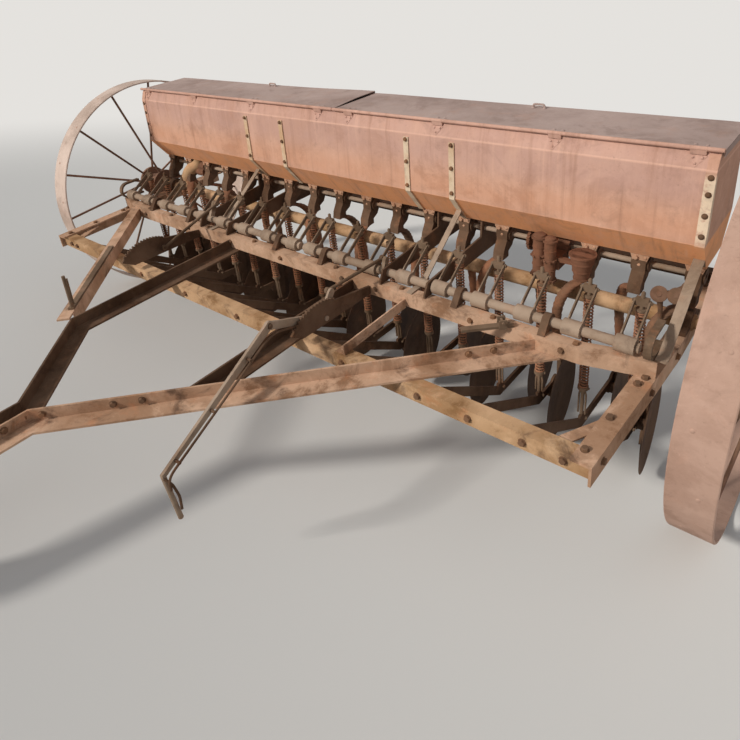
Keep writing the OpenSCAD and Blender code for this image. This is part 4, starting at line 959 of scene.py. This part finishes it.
class DRILL_OT_studio(bpy.types.Operator):
    """Pale floor, soft lamps and the camera at the photograph's viewing angle"""

    bl_idname = "drill.studio"
    bl_label = "Studio"

    # The photograph's eye, with Y from the axle, its angles in radians and its focal length in pixels
    eye = Vector((1.896, -2.166, 1.543))
    yaw, pitch, roll, focal_px = 0.692, 0.330, 0.012, 613.38
    # The picture's width and the row of its optical middle in pixels, and the film's width in millimetres
    frame_px, middle_row, film = 740, 250, 36
    pale, floor_tone, floor_reach, floor_fade = (0.78, 0.76, 0.73), (0.70, 0.685, 0.66), 60, (5.0, 12.0)
    sky, sky_strength = (0.93, 0.96, 1.0), 0.36
    # The lamps: name, where their light comes from, strength, angle in degrees and colour
    lamps = (("key", (-0.40, -0.80, 0.44), 2.75, 8, (1.0, 0.965, 0.91)),
             ("fill", (0.7, -0.2, 0.8), 0.20, 60, (0.9, 0.95, 1.0)))

    def camera(self, scene):
        camera = bpy.data.cameras.new("camera")
        camera.sensor_width = self.film
        camera.lens = self.focal_px * self.film / self.frame_px
        camera.shift_y = (self.middle_row - self.frame_px / 2) / self.frame_px
        camera.clip_start, camera.clip_end = 0.05, 200
        eye = bpy.data.objects.new("camera", camera)
        scene.collection.objects.link(eye)
        level = math.cos(self.pitch)
        forward = Vector((-math.sin(self.yaw) * level, math.cos(self.yaw) * level, -math.sin(self.pitch)))
        right = Vector((math.cos(self.yaw), math.sin(self.yaw), 0))
        up = right.cross(forward)
        side = right * math.cos(self.roll) + up * math.sin(self.roll)
        top = up * math.cos(self.roll) - right * math.sin(self.roll)
        turn = Matrix((side, top, -forward)).transposed().to_4x4()
        eye.matrix_world = Matrix.Translation(self.eye + Vector((0, AXLE.y, 0))) @ turn
        scene.camera = eye

    def floor(self, scene):
        """A floor that keeps the shadow near the drill and fades to the background further out."""
        mesh, reach = bpy.data.meshes.new("floor"), self.floor_reach
        corners = [(-reach, -reach, 0), (reach, -reach, 0), (reach, reach, 0), (-reach, reach, 0)]
        mesh.from_pydata(corners, [], [(0, 1, 2, 3)])
        ground = bpy.data.objects.new("floor", mesh)
        scene.collection.objects.link(ground)
        material = bpy.data.materials.new("Floor")
        g = Graph(material)
        spread = g.node("ShaderNodeVectorMath", {"operation": "LENGTH"}, {0: g.place()}, output="Value")
        near = g.node("ShaderNodeBsdfDiffuse", None, {"Color": (*self.floor_tone, 1), "Roughness": 0.5})
        far = g.node("ShaderNodeEmission", None, {"Color": (*self.pale, 1), "Strength": 1.0})
        blend = g.node("ShaderNodeMixShader", None, {0: spread.ramp(*self.floor_fade), 1: near, 2: far})
        g.node("ShaderNodeOutputMaterial", None, {"Surface": blend})
        mesh.materials.append(material)

    def world(self, scene):
        """Soft light, with the pale background where the camera, gloss or glass would see it."""
        world = bpy.data.worlds.new("studio")
        g = Graph(world)
        rays = ("Is Camera Ray", "Is Glossy Ray", "Is Transmission Ray")
        camera, glossy, through = g.outputs("ShaderNodeLightPath", rays)
        light = g.node("ShaderNodeBackground", None, {"Color": (*self.sky, 1), "Strength": self.sky_strength})
        shown = g.node("ShaderNodeBackground", None, {"Color": (*self.pale, 1)})
        seen = camera.either(glossy).either(through)
        blend = g.node("ShaderNodeMixShader", None, {0: seen, 1: light, 2: shown})
        g.node("ShaderNodeOutputWorld", None, {"Surface": blend})
        scene.world = world

    def execute(self, context):
        scene = context.scene
        self.camera(scene)
        self.floor(scene)
        self.world(scene)
        for name, way, strength, angle, colour in self.lamps:
            lamp = bpy.data.lights.new(name, "SUN")
            lamp.energy, lamp.angle, lamp.color = strength, math.radians(angle), colour
            sun = bpy.data.objects.new(name, lamp)
            sun.rotation_mode = "QUATERNION"
            sun.rotation_quaternion = Vector(way).to_track_quat("Z", "Y")
            scene.collection.objects.link(sun)
        scene.view_settings.view_transform = "Standard"
        return {"FINISHED"}


PIECES = (DRILL_OT_finishes, DRILL_OT_springs, DRILL_OT_seed_tubes, DRILL_OT_lids, DRILL_OT_box_trim,
          DRILL_OT_lever_trim, DRILL_OT_drive_trim, DRILL_OT_fasteners, DRILL_OT_studio)


class DRILL_PT_panel(bpy.types.Panel):
    """Lists the drill's pieces, sizes and tones"""

    bl_idname = "DRILL_PT_panel"
    bl_label = "Seed drill"
    bl_space_type = "VIEW_3D"
    bl_region_type = "UI"
    bl_category = "Seed drill"

    def draw(self, context):
        for group in (context.scene.drill_sizes, context.scene.drill_rust):
            for key in group.__annotations__:
                self.layout.prop(group, key)
        for piece in PIECES:
            self.layout.operator(piece.bl_idname)


CLASSES = (DrillRust, DrillSizes, *PIECES, DRILL_PT_panel)


def register():
    for cls in CLASSES:
        bpy.utils.register_class(cls)
    bpy.types.Scene.drill_rust = bpy.props.PointerProperty(type=DrillRust)
    bpy.types.Scene.drill_sizes = bpy.props.PointerProperty(type=DrillSizes)


def unregister():
    del bpy.types.Scene.drill_rust, bpy.types.Scene.drill_sizes
    for cls in reversed(CLASSES):
        bpy.utils.unregister_class(cls)


def main():
    register()
    for piece in PIECES:
        group, call = piece.bl_idname.split(".")
        getattr(getattr(bpy.ops, group), call)()
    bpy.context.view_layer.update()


if __name__ == "__main__":
    main()
